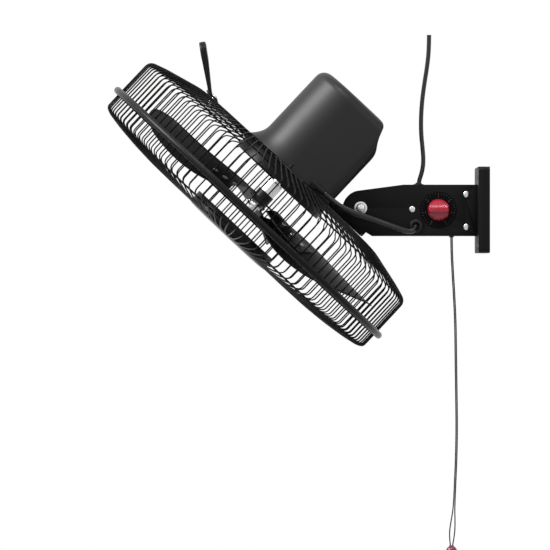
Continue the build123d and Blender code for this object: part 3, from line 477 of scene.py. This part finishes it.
# painted steel
paint = surface("black_paint", (0.006, 0.006, 0.0065), 0.38, specular=0.15, grain=1400, grain_depth=0.012)
ring_paint = surface("ring_paint", (0.005, 0.005, 0.0055), 0.33, specular=0.14,
                     grain=1400, grain_depth=0.012)
cover_paint = surface("cover_paint", (0.006, 0.006, 0.0065), 0.45, specular=0.30,
                      grain=1400, grain_depth=0.010, wear=0.02)
wire_paint = surface("wire_paint", (0.004, 0.004, 0.0044), 0.38, specular=0.06,
                     grain=1500, grain_depth=0.02)
arm_paint = surface("arm_paint", (0.0065, 0.0065, 0.007), 0.46, specular=0.11,
                    grain=1100, grain_depth=0.06)
blade_paint = surface("blade_paint", (0.003, 0.003, 0.0033), 0.42, specular=0.06,
                      grain=1300, grain_depth=0.04)
# bare metals
zinc = surface("zinc", (0.62, 0.63, 0.64), 0.26, metallic=1.0, grain=1500, grain_depth=0.04, tone=0.10)
steel = surface("shaft_steel", (0.66, 0.66, 0.67), 0.17, metallic=1.0,
                grain=2200, grain_depth=0.004, wear=0.03)
spider_zinc = surface("spider_zinc", (0.030, 0.030, 0.032), 0.42, metallic=0.9, grain=900, grain_depth=0.06)
core_steel = surface("core_steel", (0.30, 0.30, 0.31), 0.42, metallic=1.0, grain=600, grain_depth=0.1)
copper = surface("winding_copper", (0.50, 0.20, 0.08), 0.35, metallic=1.0, grain=500, grain_depth=0.3)
cast = surface("die_cast", (0.40, 0.40, 0.41), 0.50, metallic=1.0, grain=500, grain_depth=0.12)
# plastics, rubber, print and cord
plastic = surface("black_plastic", (0.011, 0.011, 0.0115), 0.42, specular=0.2,
                  grain=1600, grain_depth=0.05)
cap_plastic = surface("cap_plastic", (0.006, 0.006, 0.0065), 0.28, specular=0.2, coat=0.05, grain=700)
dial_face = surface("dial_face", (0.003, 0.003, 0.0033), 0.45, specular=0.05, grain=1800, grain_depth=0.03)
print_white = surface("print_white", (0.13, 0.13, 0.128), 0.6, specular=0.2, grain=2500, tone=0.25)
cable = surface("cable_rubber", (0.008, 0.008, 0.0085), 0.25, specular=0.28, coat=0.3, coat_roughness=0.12,
                grain=1200, grain_depth=0.04)
cream = surface("switch_plastic", (0.55, 0.53, 0.47), 0.45, specular=0.4)
nylon = surface("nylon", (0.70, 0.69, 0.64), 0.5, specular=0.4)
strand = surface("pull_strand", (0.012, 0.011, 0.011), 0.7, specular=0.08, grain=2600, grain_depth=0.15)
knob_red = surface("knob_red", (0.42, 0.006, 0.030), 0.25, specular=0.35, coat=0.25, coat_roughness=0.15,
                   grain=900, grain_depth=0.02, tone=0.06)
ball_red = surface("ball_red", (0.20, 0.010, 0.035), 0.25, specular=0.5, coat=0.5, grain=900, tone=0.06)
slot_materials = {
    "black_paint": paint, "arm_paint": arm_paint, "blade_paint": blade_paint, "spider_zinc": spider_zinc,
    "zinc": zinc, "shaft_steel": steel, "core_steel": core_steel, "winding_copper": copper,
    "die_cast": cast, "black_plastic": plastic, "cap_plastic": cap_plastic, "switch_plastic": cream,
    "knob_red": knob_red, "ball_red": ball_red, "cable_rubber": cable, "strand": strand, "nylon": nylon}


def dress_cad():
    """Every CAD node gets its slot's finish; those that a modelled piece replaces are hidden later."""
    slots = {part["node"]: part["material_slot"] for part in record["subparts"]}
    for node, piece in frame["nodes"].items():
        piece.data.materials.clear()
        piece.data.materials.append(slot_materials[slots[node]])


def place(piece, body, slot, *nodes):
    """The piece moves with the body and stands for these CAD nodes; the slot is not used."""
    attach(piece, body)
    if nodes:
        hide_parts(*nodes)
    return piece


def place_turned(node, profile, matrix, material, segments, body, slot):
    """A turned piece takes the CAD node's place."""
    place(lathe(f"{node}_modelled", profile, matrix, material, segments), body, slot, node)


def place_refined(node, width, material, body, slot):
    """The CAD node's own shape with rounded edges takes its place."""
    place(refined(f"{node}_modelled", node, width, material), body, slot, node)


# ---------------- guards
guard_wires = 120
wire_radius, support_radius = 0.98, 1.25
side_radius = 245.0           # of the cage's outside
centre_radius = 70.0          # where the wires end
rim_radius, rim_inset = 1.3, 0.4           # the wire round each half's rim
guard_bend = 9.0              # of a wire's corners
# the way of one wire, as (radius, front)
front_route = [(side_radius, 1.4), (side_radius, 26.2), (236.0, 30.6), (213.0, 34.9), (180.0, 38.7),
               (146.0, 40.9), (105.0, 41.5), (centre_radius, 41.4)]
rear_route = [(side_radius, -1.4), (244.8, -59.2), (221.0, -67.2), (166.0, -80.9), (centre_radius, -82.0)]
swirl_start = 233.0           # the radius inside which a rear wire leads
rear_swirl = 14.0             # degrees by which it leads at its end
clamp_radius, clamp_half = 255.0, 4.8
clamp_crown, clamp_edge = 4.4, 0.8         # of its rounded outside, and of its side edges
clamp_lip = side_radius + 2.6              # its inner edge, which is open for the wires
groove_radius, groove_half = clamp_radius - 2.4, 2.8


def swirl_share(radius):
    """How much of its swirl a wire has at this radius, from 0 to 1."""
    return min(1.0, max(0.0, (swirl_start - radius) / (swirl_start - centre_radius)))


def guard_paths(points, swirl=0.0):
    """The wires round the axis; a swirl turns each one evenly with the radius, inside its corner."""
    for number in range(guard_wires):
        angle = 360 * (number + 0.5) / guard_wires
        yield [ring_point(radius, front, angle + swirl * swirl_share(radius)) for radius, front in points]


def steps_between(start, end, steps):
    """Points after the start up to the end, so that a swirl bends a straight stretch evenly."""
    (r0, f0), (r1, f1) = start, end
    return [(r0 + (r1 - r0) * step / steps, f0 + (f1 - f0) * step / steps) for step in range(1, steps + 1)]


def build_guard(node, points, swirl, centre_profile, rim_front):
    """Half of the cage: its wires, the turned piece at their middle and the wire round its rim."""
    wires = tubes(f"{node}_wires", guard_paths(points, swirl), wire_radius, wire_paint)
    centre = lathe(f"{node}_centre", centre_profile, head_matrix, paint, 128)
    rim_path = ring_path(side_radius - rim_inset, rim_front)
    rim = tubes(f"{node}_rim", [rim_path], rim_radius, wire_paint, closed=True)
    place(join(f"{node}_modelled", [wires, centre, rim]), "head", "black_paint", node)


def build_rings(node, *places):
    """The rings of thicker wire that carry a guard's wires, at these (radius, front)."""
    paths = [ring_path(radius, front) for radius, front in places]
    rings = tubes(f"{node}_modelled", paths, support_radius, wire_paint, 10, closed=True)
    place(rings, "head", "black_paint", node)


def build_guards():
    disc = [(0, 40.2), (69.0, 40.2), (69.6, 24.2), (70.6, 24.0), (71.0, 24.6), (71.0, 41.6), (70.4, 42.3),
            (0, 42.3)]
    build_guard("front_guard", soften(front_route, guard_bend, 4), 0.0, disc, 1.4)
    softened = [tuple(point) for point in soften(rear_route, guard_bend, 8)]
    pan = [(40.0, -83.1), (40.0, -81.4), (40.6, -80.9), (72.0, -80.9), (73.4, -80.4), (73.8, -79.0),
           (73.8, -60.0), (74.2, -59.3), (75.4, -59.3), (75.9, -59.8), (76.0, -79.6), (75.4, -82.0),
           (73.8, -83.0), (71.6, -83.1), (40.0, -83.1)]
    build_guard("rear_guard", softened[:-1] + steps_between(*softened[-2:], 12), rear_swirl, pan, -1.4)
    build_rings("rear_rings", (119.2, -79.2), (161.2, -79.0), (206.0, -68.4))
    build_rings("front_ring", (140.8, 38.9), (214.5, 31.9))

    outside = [(clamp_lip + clamp_edge, clamp_half)]
    for turn in (88, 76, 64, 52, 40, 28, 17, 6):
        outside.append((clamp_radius - clamp_crown + clamp_crown * cos(radians(turn)),
                        clamp_half * sin(radians(turn))))
    band = outside + [(radius, -front) for radius, front in reversed(outside)]
    profile = [(clamp_lip, -groove_half), (clamp_lip, -clamp_half + clamp_edge), *reversed(band),
               (clamp_lip, clamp_half - clamp_edge), (clamp_lip, groove_half),
               (groove_radius, groove_half), (groove_radius, -groove_half), (clamp_lip, -groove_half)]
    place_turned("clamp_ring", profile, head_matrix, ring_paint, 200, "head", "black_paint")
    cap = [(0, 44.9), (40.0, 44.7), (58.0, 44.2), (66.0, 43.6), (69.4, 43.0), (70.8, 42.6), (70.8, 42.4),
           (0, 42.4)]
    place_turned("guard_cap", cap, head_matrix, cap_plastic, 128, "head", "cap_plastic")


# ---------------- motor cover
cover_radius, cover_bottom = 61.6, -75.0
cover_lip, cover_rear = -84.0, -220.0      # its front edge and its rear face
cover_wall = 2.5
cover_corner, cover_round = 16.0, 15.0     # radii at the bottom's corners and over the rear edge
flare_length, top_flare, side_flare = 26.0, 11.6, 2.0    # how the front part widens to its lip
hollow_route = [(-75.3, -160.0), (-75.0, -179.5), (-63.5, -196.0), (-55.5, -219.0), (-38.0, -220.4)]
cut_side, cut_under, cut_behind = 90.0, -100.0, -250.0    # how far the hollow's cutter reaches


def cover_outline(radius, bottom, corner, front, flare=0.0):
    """Round top, straight sides, flat bottom with round corners; a flare widens the top."""
    outline = []
    for step in range(49):
        turn = radians(180 * step / 48)
        reach = radius + flare * max(0.0, sin(turn)) ** 4
        outline.append((reach * cos(turn), reach * sin(turn)))
    outline += arc(-radius + corner, bottom + corner, corner, 180, 270, 10)
    outline += arc(radius - corner, bottom + corner, corner, 270, 360, 10)
    return [head_matrix @ Vector((x, y, front)) for x, y in outline]


def flared_outline(share, inset, corner, behind=0.0):
    """Outline of the front part, whose flare fades from the lip (share 0) to its end (1)."""
    left = (1 - share) ** 2
    return cover_outline(cover_radius - inset + side_flare * left, cover_bottom + inset, corner,
                         cover_lip - flare_length * share - behind, top_flare * left)


def build_cover():
    # from the inside of the front edge, round it, along the body and over the rear edge
    rings = [flared_outline(share, cover_wall, 13.5) for share in (0.8, 0.5, 0.2)]
    rings += [flared_outline(0, cover_wall, 13.5, 0.6), flared_outline(0, 1.2, 15.0)]
    rings += [flared_outline(share, 0, cover_corner)
              for share in (0.02, 0.08, 0.16, 0.26, 0.38, 0.52, 0.68, 0.84, 1.0)]
    rings += [cover_outline(cover_radius, cover_bottom, cover_corner, front)
              for front in (-122.0, -140.0, -158.0, -176.0, -192.0)]
    for step in range(13):
        turn = radians(90 * step / 12)
        inset = cover_round * (1 - cos(turn))
        rings.append(cover_outline(cover_radius - inset, cover_bottom + inset, cover_corner - inset * 0.7,
                                   cover_rear + cover_round - cover_round * sin(turn)))
    shell = loft("motor_cover_modelled", rings, cover_paint, 50)
    # the hollow under the rear, an arc from the bottom to the rear face, cut right through
    outline = [tuple(point) for point in soften(hollow_route, 9.5, 8)]
    outline += [(-38.0, cut_behind), (cut_under, cut_behind), (cut_under, -160.0)]
    sides = [[on_head(front, up, side) for up, front in outline] for side in (-cut_side, cut_side)]
    boolean(shell, loft("hollow", sides, cover_paint))
    bevel(shell, 1.2, 3, 48)
    place(sharpen(shell, 50), "head", "black_paint", "motor_cover")


# ---------------- cords and the motor's lead
mains_points = [(-97.3, 0, 27), (-97.3, 0, 39.5), (-92.4, 0, 53), (-90.2, 0.6, 68), (-91.4, 1.4, 86),
                (-93.6, 1.8, 107), (-93.8, 1.4, 130), (-92.2, 0.6, 154), (-89.0, 0, 178),
                (-85.1, -0.4, 202), (-82.7, -0.2, 225), (-82.5, 0.4, 245.4)]
pull_points = [(-51.1, -23.4), (-51.1, -50), (-49.9, -78), (-47.6, -116), (-45.6, -156), (-45.1, -201),
               (-44.4, -250), (-43.7, -302), (-44.4, -345), (-46.1, -383), (-47.6, -418)]
pull_ends = {"left": [(-51.4, -438), (-53.5, -455), (-52.6, -469.5)],
             "right": [(-47.0, -437), (-47.6, -454), (-49.6, -469.5)]}
strand_offset = 0.95          # of each strand from the middle line
ball_radius = 8.0


def build_cords():
    mains = nurbs_curve("mains_cord_modelled", mains_points, 6.2, cable)
    place(mains, "bracket", "cable_rubber", "mains_cord")
    ball = lathe("pull_ball_modelled", [(0, 8.9), (1.6, 8.9), (2.9, 8.7), (3.4, 8.1), (3.5, 7.2)]
                 + [(ball_radius * cos(radians(turn)), ball_radius * sin(radians(turn)))
                    for turn in range(60, -85, -6)]
                 + [(0, -ball_radius)], Matrix.Translation((-51.1, 0, -477.5)), ball_red, 48, 50)
    place(ball, "pull", "ball_red", "pull_ball")
    for side, offset in (("left", -strand_offset), ("right", strand_offset)):
        points = [(x + offset, 0, z) for x, z in pull_points]
        *upper, (end_x, end_z) = pull_ends[side]
        points += [(x + offset, 0, z) for x, z in upper] + [(end_x, 0, end_z)]
        line = nurbs_curve(f"pull_cord_{side}_modelled", points, 1.7, strand)
        place(line, "pull", "strand", f"pull_cord_{side}")


def build_lead():
    """The motor's lead is held at the head and at the arm."""
    control = [on_head(-91.5, -58, -78), on_head(-91.5, -83, -78), (-189, -64, -4.6), (-161, -50, -13.2),
               (-133, -42.5, -23.4), (-114.5, -40.5, -30), (-104.2, -39, -29.2), (-101.6, -30.4, -22.3)]
    lead = tubes("motor_lead_modelled", [nurbs_points("lead_line", control)], 3.75, cable, 20)
    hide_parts("motor_lead")
    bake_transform(lead)
    grommet = [(3.9, 0), (10.0, 0), (10.0, 1.2), (9.6, 2.4), (8.6, 3.4), (7.2, 3.95), (5.6, 3.9), (4.4, 3.3),
               (3.9, 2.4), (3.9, 0)]
    place_turned("lead_grommet", grommet, side_matrix(-101.6, -22.3, arm_face), plastic, 56,
                 "bracket", "black_plastic")
    collar = [(3.2, 0), (7.6, 0), (7.6, 0.7), (7.0, 1.2), (5.0, 1.5), (4.4, 2.2), (4.0, 3.0), (3.2, 3.2),
              (3.2, 0)]
    place_turned("mains_grommet", collar, Matrix.Translation((-97.3, 0, 35.4)), plastic, 48,
                 "bracket", "black_plastic")


# ---------------- arm
def build_arm():
    for node, width in (("wall_plate", 0.7), ("arm_flange", 1.8), ("arm_shell", 0.9),
                        ("arm_bottom_cover", 0.5)):
        place_refined(node, width, arm_paint, "bracket", "arm_paint")
    screws = [crossed_screw(f"side_screw_{number}", side_matrix(x, z, arm_face), 4.5, 2.6, zinc)
              for number, (x, z) in enumerate(((-107, 1.1), (-31.5, 22.0), (-31.5, -23.5)), 1)]
    place(join("side_screws_modelled", screws), "bracket", "zinc", "side_screws")
    for node, material, slot in (("hinge_washers", zinc, "zinc"), ("hinge_nut", zinc, "zinc"),
                                 ("friction_washers", plastic, "black_plastic")):
        place_refined(node, 0.35, material, "bracket", slot)
    bolt = [(0, -62.2), (3.4, -62.2), (4.0, -61.6), (4.0, 0), (6.5, 0), (6.5, 1.9), (6.2, 3.0), (5.5, 4.0),
            (4.3, 4.8), (2.6, 5.25), (0, 5.3)]
    place_turned("hinge_bolt", bolt, side_matrix(hinge_point.x, hinge_point.z, washer_face), zinc, 48,
                 "bracket", "zinc")
    guide = [(1.9, 0), (5.0, 0), (5.0, 2.0), (4.7, 2.5), (3.6, 2.7), (3.2, 4.6), (2.8, 5.0), (2.2, 5.0),
             (1.9, 4.4), (1.9, 0)]
    place_turned("cord_guide", guide, under_matrix(-51.1, 0, -33.0), plastic, 40,
                 "bracket", "black_plastic")


# ---------------- dial and knob
dial_start, dial_sweep = 240, 300          # degrees; the marks run with the clock
dial_steps, top_number = 30, 6
tick_outer, number_radius, number_size = 23.4, 18.7, 3.6
print_height = 0.06


def written(number, size, matrix, material):
    """A plain number lying on a face."""
    curve = bpy.data.curves.new("number", "FONT")
    curve.body = str(number)
    curve.size = size
    curve.align_x, curve.align_y = "CENTER", "CENTER"
    curve.extrude = print_height / 2
    return curve_piece("number", curve, matrix, material)


def build_dial():
    face = side_matrix(dial_centre.x, dial_centre.z, arm_face)
    marks = [lathe("dial_disc", [(6.0, 0), (25.0, 0), (25.3, 0.4), (25.3, 1.0), (24.9, 1.45), (24.2, 1.5),
                                 (6.0, 1.5), (6.0, 0)], face, dial_face, 96)]
    for step in range(dial_steps + 1):
        turn = Matrix.Rotation(radians(dial_start - dial_sweep * step / dial_steps), 4, "Z")
        inner, half = (21.2, 0.28) if step % 5 == 0 else (22.2, 0.17)    # long at each number
        corners = [(inner, -half), (tick_outer, -half), (tick_outer, half), (inner, half)]
        marks.append(prism("tick", corners, 1.48, 1.56, face @ turn, print_white))
    for number in range(top_number + 1):
        turn = radians(dial_start - dial_sweep * number / top_number)
        spot = Matrix.Translation((number_radius * cos(turn), number_radius * sin(turn), 1.53))
        marks.append(written(number, number_size, face @ spot, print_white))
    place(join("dial_plate_modelled", marks), "bracket", "black_plastic", "dial_plate")


def build_knob():
    top = side_matrix(dial_centre.x, dial_centre.z, knob_face)
    base = lathe("knob_base", [(6.5, 0), (14.7, 0), (15.25, 0.5), (15.25, 2.2), (14.9, 3.4), (14.3, 5.4),
                               (13.6, 6.15), (12.6, 6.3), (0, 6.3), (0, 5.0), (6.5, 5.0), (6.5, 0)],
                 top, knob_red, 96, 34)
    rings = []                # the grip bar's outlines, from the base up
    for height, long, wide in ((5.4, 29.6, 29.4), (6.3, 29.4, 27.6), (10.9, 28.6, 9.9), (11.4, 28.4, 8.8),
                               (12.6, 28.1, 7.8), (13.4, 27.7, 7.2), (13.85, 27.0, 6.2), (14.0, 25.8, 5.0)):
        outline = rounded(long, wide, min(wide / 2 - 0.05, 2.6), 6)
        rings.append([top @ Vector((x, y, height)) for x, y in outline])
    bar = loft("knob_bar", rings, knob_red, 60)
    boolean(bar, prism("limit", arc(0, 0, 15.1, 0, 355, 71), 5.0, 16.0, top, knob_red), "INTERSECT")
    line = prism("pointer", [(8.5, -0.5), (13.2, -0.5), (13.2, 0.5), (8.5, 0.5)], 13.96, 14.04,
                 top @ Matrix.Rotation(radians(180), 4, "Z"), print_white)
    place(join("speed_knob_modelled", [base, bar, line]), "knob", "knob_red", "speed_knob")


# ---------------- blades and their spider
blade_radius, blade_thick, blade_camber = 225.0, 1.6, 7.0
blade_inner = 42.0            # where a blade's sheet starts, from the axis
blade_sections = [(0.17, 36.0, 24.0, -15.0), (0.42, 58.0, 40.0, -8.0), (0.69, 70.0, 34.0, -8.0),
                  (1.04, 64.0, 14.0, -16.0)]    # share of blade_radius, half chord, rise and middle
blade_angles = [202.7, 322.7, 82.7]
tip_radius = 221.0
tip_half_chord = 66.0
tip_round_rear, tip_round_front = 32.0, 50.0
rear_trim = 0.15              # share of the half chord that the rear edge loses, from trim_start outwards
trim_start, trim_length = 90.0, 110.0
widest_share = 0.93           # of the distance from the axis, for the edge near the hub
across_steps, out_steps = 28, 36


def section_at(radius):
    """Half chord, rise and middle of a blade at this radius."""
    values = [0.0, 0.0, 0.0]
    for own in blade_sections:
        weight = 1.0
        for other in blade_sections:
            if other is not own:
                weight *= (radius / blade_radius - other[0]) / (own[0] - other[0])
        values = [value + weight * size for value, size in zip(values, own[1:])]
    return values


def section_height(radius, across):
    """Height of the sheet along the fan's axis; its section is cambered about the chord."""
    half_chord, rise, middle = section_at(radius)
    share = across / half_chord
    return middle + rise / 2 * share - blade_camber * (1 - share ** 2)


def blade_point(angle, distance, across, lift):
    """A point of the sheet: distance along the blade's middle line, across towards its front edge."""
    radial = up_dir * cos(radians(angle)) + side_dir * sin(radians(angle))
    along = front_dir.cross(radial)
    return (head_centre + radial * distance + along * across
            + front_dir * (section_height(distance, across) + lift))


def blade_reach(share):
    """How far from the axis the blade's tip lies, where share runs across the chord from -1 to 1."""
    corner = tip_round_rear if share < 0 else tip_round_front
    inside = max(0.0, abs(share) * tip_half_chord - (tip_half_chord - corner))
    return tip_radius - (corner - (max(0.0, corner ** 2 - inside ** 2)) ** 0.5)


def along_middle(reach, across):
    """Distance along the middle line of a point that is reach from the axis and across from the line."""
    return max(20.0, reach ** 2 - across ** 2) ** 0.5


def blade_outline():
    """The sheet's points as (distance, across), in columns from its rear edge to its front edge."""
    columns = []
    for column in range(across_steps + 1):
        share = -cos(pi * column / across_steps)
        line = []
        for row in range(out_steps + 1):
            reach = blade_inner + (blade_reach(share) - blade_inner) * row / out_steps
            outer_share = min(1.0, max(0.0, (reach - trim_start) / trim_length))
            narrow = 1.0 - (rear_trim * outer_share if share < 0 else 0.0)
            across = share * narrow * section_at(reach)[0]
            for _ in range(3):
                half_chord = section_at(along_middle(reach, across))[0]
                across = share * narrow * min(half_chord, reach * widest_share)
            line.append((along_middle(reach, across), across))
        columns.append(line)
    return columns


def build_blades():
    columns = blade_outline()
    rows = out_steps + 1
    whole, last = len(columns) * rows, across_steps * rows
    faces = []
    for column in range(across_steps):
        for row in range(out_steps):
            first = column * rows + row
            quad = (first, first + 1, first + rows + 1, first + rows)
            faces += [quad, tuple(index + whole for index in reversed(quad))]
    border = [*range(rows), *(column * rows + out_steps for column in range(1, across_steps + 1)),
              *(last + row for row in range(out_steps - 1, -1, -1)),
              *(column * rows for column in range(across_steps - 1, 0, -1))]
    faces += [(here, after, after + whole, here + whole)
              for here, after in zip(border, border[1:] + border[:1])]
    for number, angle in enumerate(blade_angles, 1):
        points = [blade_point(angle, distance, across, lift)
                  for lift in (0.0, blade_thick) for line in columns for distance, across in line]
        blade = mesh(f"blade_{number}_modelled", points, faces, blade_paint)
        bevel(blade, 0.5, 2, 50)
        place(sharpen(blade, 45), "rotor", "blade_paint", f"blade_{number}")
    boss = lathe("hub_boss", [(6.05, -57.0), (11.2, -57.0), (12.0, -56.2), (12.0, -26.4), (6.05, -26.4),
                              (6.05, -57.0)], head_matrix, steel, 64)
    spider = refined("spider_sheet", "blade_spider", 0.45, spider_zinc)
    place(join("blade_spider_modelled", [spider, boss]), "rotor", "spider_zinc", "blade_spider")
    for node, width, material, slot in (("rivets", 0.5, zinc, "zinc"), ("hub_nut", 0.7, zinc, "zinc"),
                                        ("motor_shaft", 0.6, steel, "shaft_steel")):
        place_refined(node, width, material, "rotor", slot)


# ---------------- neck, handle and small pieces of the head
neck_outline = [(-84.2, -73.0), (-96.0, -73.0), (-96.4, -80.0), (-98.5, -87.0), (-103.0, -93.5),
                (-112.0, -95.0), (-116.0, -124.0), (-103.0, -136.2), (-84.2, -136.2)]    # (front, up)
neck_width = 26.0


def build_head():
    shield = [(14.2, -95.0), (20.0, -95.0), (22.0, -92.0), (54.0, -91.0), (56.0, -90.0), (56.0, -87.6),
              (54.5, -86.6), (30.0, -86.6), (24.0, -84.4), (14.2, -84.4), (14.2, -95.0)]
    place_turned("front_shield", shield, head_matrix, cast, 96, "head", "die_cast")
    across = Matrix.Translation(on_head(-112.2, -110.2)) @ Matrix.Rotation(radians(-90), 4, "X")
    barrel = lathe("neck_barrel", [(0, -21.6), (14.8, -21.6), (16.0, -20.4), (16.0, 20.4), (14.8, 21.6),
                                   (0, 21.6)], across, paint, 64)
    upright = Matrix(((-front_dir.x, up_dir.x, 0, 0), (0, 0, -1, 0), (-front_dir.z, up_dir.z, 0, 0),
                      (0, 0, 0, 1)))
    web = plate("neck_web", [(-front, up) for front, up in neck_outline], neck_width,
                Matrix.Translation(on_head(0, 0, neck_width / 2)) @ upright, paint, 2.2)
    place(join("neck_modelled", [barrel, web]), "head", "black_paint", "neck", "neck_screws")
    for node, width, material, slot in (("neck_cap", 1.4, paint, "black_paint"),
                                        ("lead_bush", 0.6, plastic, "black_plastic"),
                                        ("guard_screws", 0.5, paint, "zinc"),
                                        ("handle_clamps", 0.5, paint, "black_paint")):
        place_refined(node, width, material, "head", slot)


handle_turn = 15.0            # degrees from the head's up to each foot
handle_foot_radius = 153.0
handle_top_up, handle_top_front = 204.0, -124.0
handle_leg, handle_bar = 7.0, 19.0         # widths of the legs and of the bar
handle_corner, handle_inner_corner = 15.0, 6.0
handle_thick = 5.0
grip_length, grip_ramp, grip_swell = 38.0, 18.0, 0.85
foot_face, foot_thick = -83.2, 2.4


def build_handle():
    foot_up = handle_foot_radius * cos(radians(handle_turn))
    foot_side = handle_foot_radius * sin(radians(handle_turn))
    low = on_head(foot_face - 1.6, foot_up + 4.0)
    high = on_head(handle_top_front, handle_top_up) + Vector((0.0, 0.0, 8.1))
    rise = (high - low).normalized()
    length = (high - low).length
    sheet = Matrix(((0, rise.x, -rise.z, low.x), (1, 0, 0, low.y), (0, rise.z, rise.x, low.z), (0, 0, 0, 1)))
    half = foot_side + 3.5
    inside, top = half - handle_leg, length - handle_bar
    corner, small = handle_corner, handle_inner_corner
    outline = [(-half, 0), *arc(-half + corner, length - corner, corner, 180, 90, 10),
               *arc(half - corner, length - corner, corner, 90, 0, 10), (half, 0),
               (inside, 0), *arc(inside - small, top - small, small, 0, 90, 6),
               *arc(-inside + small, top - small, small, 90, 180, 6), (-inside, 0)]
    middle = sheet @ Matrix.Translation((0, 0, -handle_thick / 2))
    bar = plate("handle_bar", outline, handle_thick, middle, ring_paint, 1.7)
    # the bar swells to both faces where the hand holds it
    flat = sheet.inverted()
    with edited(bar.data) as work:
        bmesh.ops.triangulate(work, faces=work.faces)
        long_edges = [edge for edge in work.edges if edge.calc_length() > 9 * MM]
        bmesh.ops.subdivide_edges(work, edges=long_edges, cuts=5)
        for vertex in work.verts:
            spot = flat @ (vertex.co / MM)
            share = min(1.0, max(0.0, (spot.y - (length - grip_length)) / grip_ramp))
            spot.z *= 1.0 + grip_swell * share * share * (3 - 2 * share)
            vertex.co = (sheet @ spot) * MM
    feet, screws = [bar], []
    for sign in (-1, 1):
        turned = head_matrix @ Matrix.Rotation(radians(-handle_turn * sign), 4, "Z")
        spot = turned @ Matrix.Translation((0, handle_foot_radius, foot_face - foot_thick))
        feet.append(plate("foot", rounded(12.0, 20.0, 4.0, 6), foot_thick, spot, paint, 0.6))
        seat = turned @ Matrix.Translation((0, handle_foot_radius - 4.0, foot_face - foot_thick)) \
            @ Matrix.Rotation(pi, 4, "X")
        screws.append(crossed_screw("handle_screw", seat, 4.0, 2.3, zinc))
        screws.append(lathe("handle_screw_stem", [(0, -11.8), (1.5, -11.8), (2.0, -11.3), (2.0, 0), (0, 0)],
                            seat, zinc, 24))
    place(join("handle_modelled", feet), "head", "black_paint", "handle", "handle_grip")
    place(join("handle_screws_modelled", screws), "head", "zinc", "handle_screws")


# ---------------- stage, lights and camera
floor_height = -2.95          # metres; the fan hangs high on its wall
floor_glow = 0.75             # share of plain white in the floor, where it is seen directly
world_light = 0.25            # the world's strength, where it isn't seen directly


def seen_paths(nodes, links):
    """1 for what is seen directly, in a mirror or through glass, and 0 for what only lights the fan."""
    path = nodes.new("ShaderNodeLightPath")
    seen = path.outputs["Is Camera Ray"]
    for kind in ("Is Glossy Ray", "Is Transmission Ray"):
        either = nodes.new("ShaderNodeMath")
        either.operation = "MAXIMUM"
        links.new(seen, either.inputs[0])
        links.new(path.outputs[kind], either.inputs[1])
        seen = either.outputs[0]
    return seen


def build_stage():
    bpy.ops.mesh.primitive_plane_add(size=30.0)
    floor = bpy.context.object
    floor.name = "floor"
    floor.location = (0, 0, floor_height)
    material = bpy.data.materials.new("floor")
    material.use_nodes = True
    nodes, links = material.node_tree.nodes, material.node_tree.links
    shader = fill(nodes["Principled BSDF"], {"Base Color": (0.82, 0.82, 0.82, 1), "Roughness": 0.9})
    glow = nodes.new("ShaderNodeEmission")
    share = nodes.new("ShaderNodeMath")
    share.operation = "MULTIPLY"
    share.inputs[1].default_value = floor_glow
    mix = nodes.new("ShaderNodeMixShader")
    links.new(seen_paths(nodes, links), share.inputs[0])
    links.new(share.outputs[0], mix.inputs["Fac"])
    links.new(shader.outputs["BSDF"], mix.inputs[1])
    links.new(glow.outputs["Emission"], mix.inputs[2])
    links.new(mix.outputs["Shader"], nodes["Material Output"].inputs["Surface"])
    floor.data.materials.append(material)

    world = bpy.data.worlds.new("studio")
    bpy.context.scene.world = world
    world.use_nodes = True
    nodes, links = world.node_tree.nodes, world.node_tree.links
    level = fill(nodes.new("ShaderNodeMapRange"), {"To Min": world_light, "To Max": 1.0})
    background = fill(nodes["Background"], {"Color": (1, 1, 1, 1)})
    links.new(seen_paths(nodes, links), level.inputs["Value"])
    links.new(level.outputs["Result"], background.inputs["Strength"])


def lamp(name, spot, target, size, power):
    """Area lamp at a spot, aimed at a target; metres and watts."""
    data = bpy.data.lights.new(name, "AREA")
    data.shape = "RECTANGLE"
    data.size, data.size_y = size
    data.energy = power
    holder = linked(name, data)
    holder.location = spot
    holder.rotation_euler = (Vector(target) - Vector(spot)).to_track_quat("-Z", "Y").to_euler()


photo_pixels = 550
pixel_size = 1.4              # millimetres of the object per pixel of the photograph
wall_pixel, level_pixel = 488.0, 210.3     # where the photograph shows the wall and the frame's origin
camera_distance = 6300.0


def build_camera():
    data = bpy.data.cameras.new("camera")
    data.sensor_width = 36.0
    data.lens = data.sensor_width * camera_distance / (photo_pixels * pixel_size)
    data.clip_end = 40.0
    camera = linked("camera", data)
    centre_x = (photo_pixels / 2 - wall_pixel) * pixel_size
    centre_z = (level_pixel - photo_pixels / 2) * pixel_size
    camera.location = Vector((centre_x, -camera_distance, centre_z)) * MM
    camera.rotation_euler = (radians(90), 0, 0)
    bpy.context.scene.camera = camera


bpy.context.scene.view_settings.view_transform = "Standard"
dress_cad()
build_cords()
build_lead()
build_guards()
build_cover()
build_arm()
build_dial()
build_knob()
build_blades()
build_head()
build_handle()
build_stage()
lamp("key", (-2.1, -0.6, 1.9), (-0.3, 0, 0.05), (1.3, 1.3), 112)
lamp("side", (-1.7, -2.1, 1.5), (-0.3, 0, 0.05), (1.1, 1.1), 7)
lamp("top", (-0.1, -0.95, 2.4), (-0.2, 0, 0), (0.9, 0.6), 24)
lamp("fill", (2.0, -2.2, 1.3), (-0.2, 0, 0), (1.0, 1.0), 7)
build_camera()
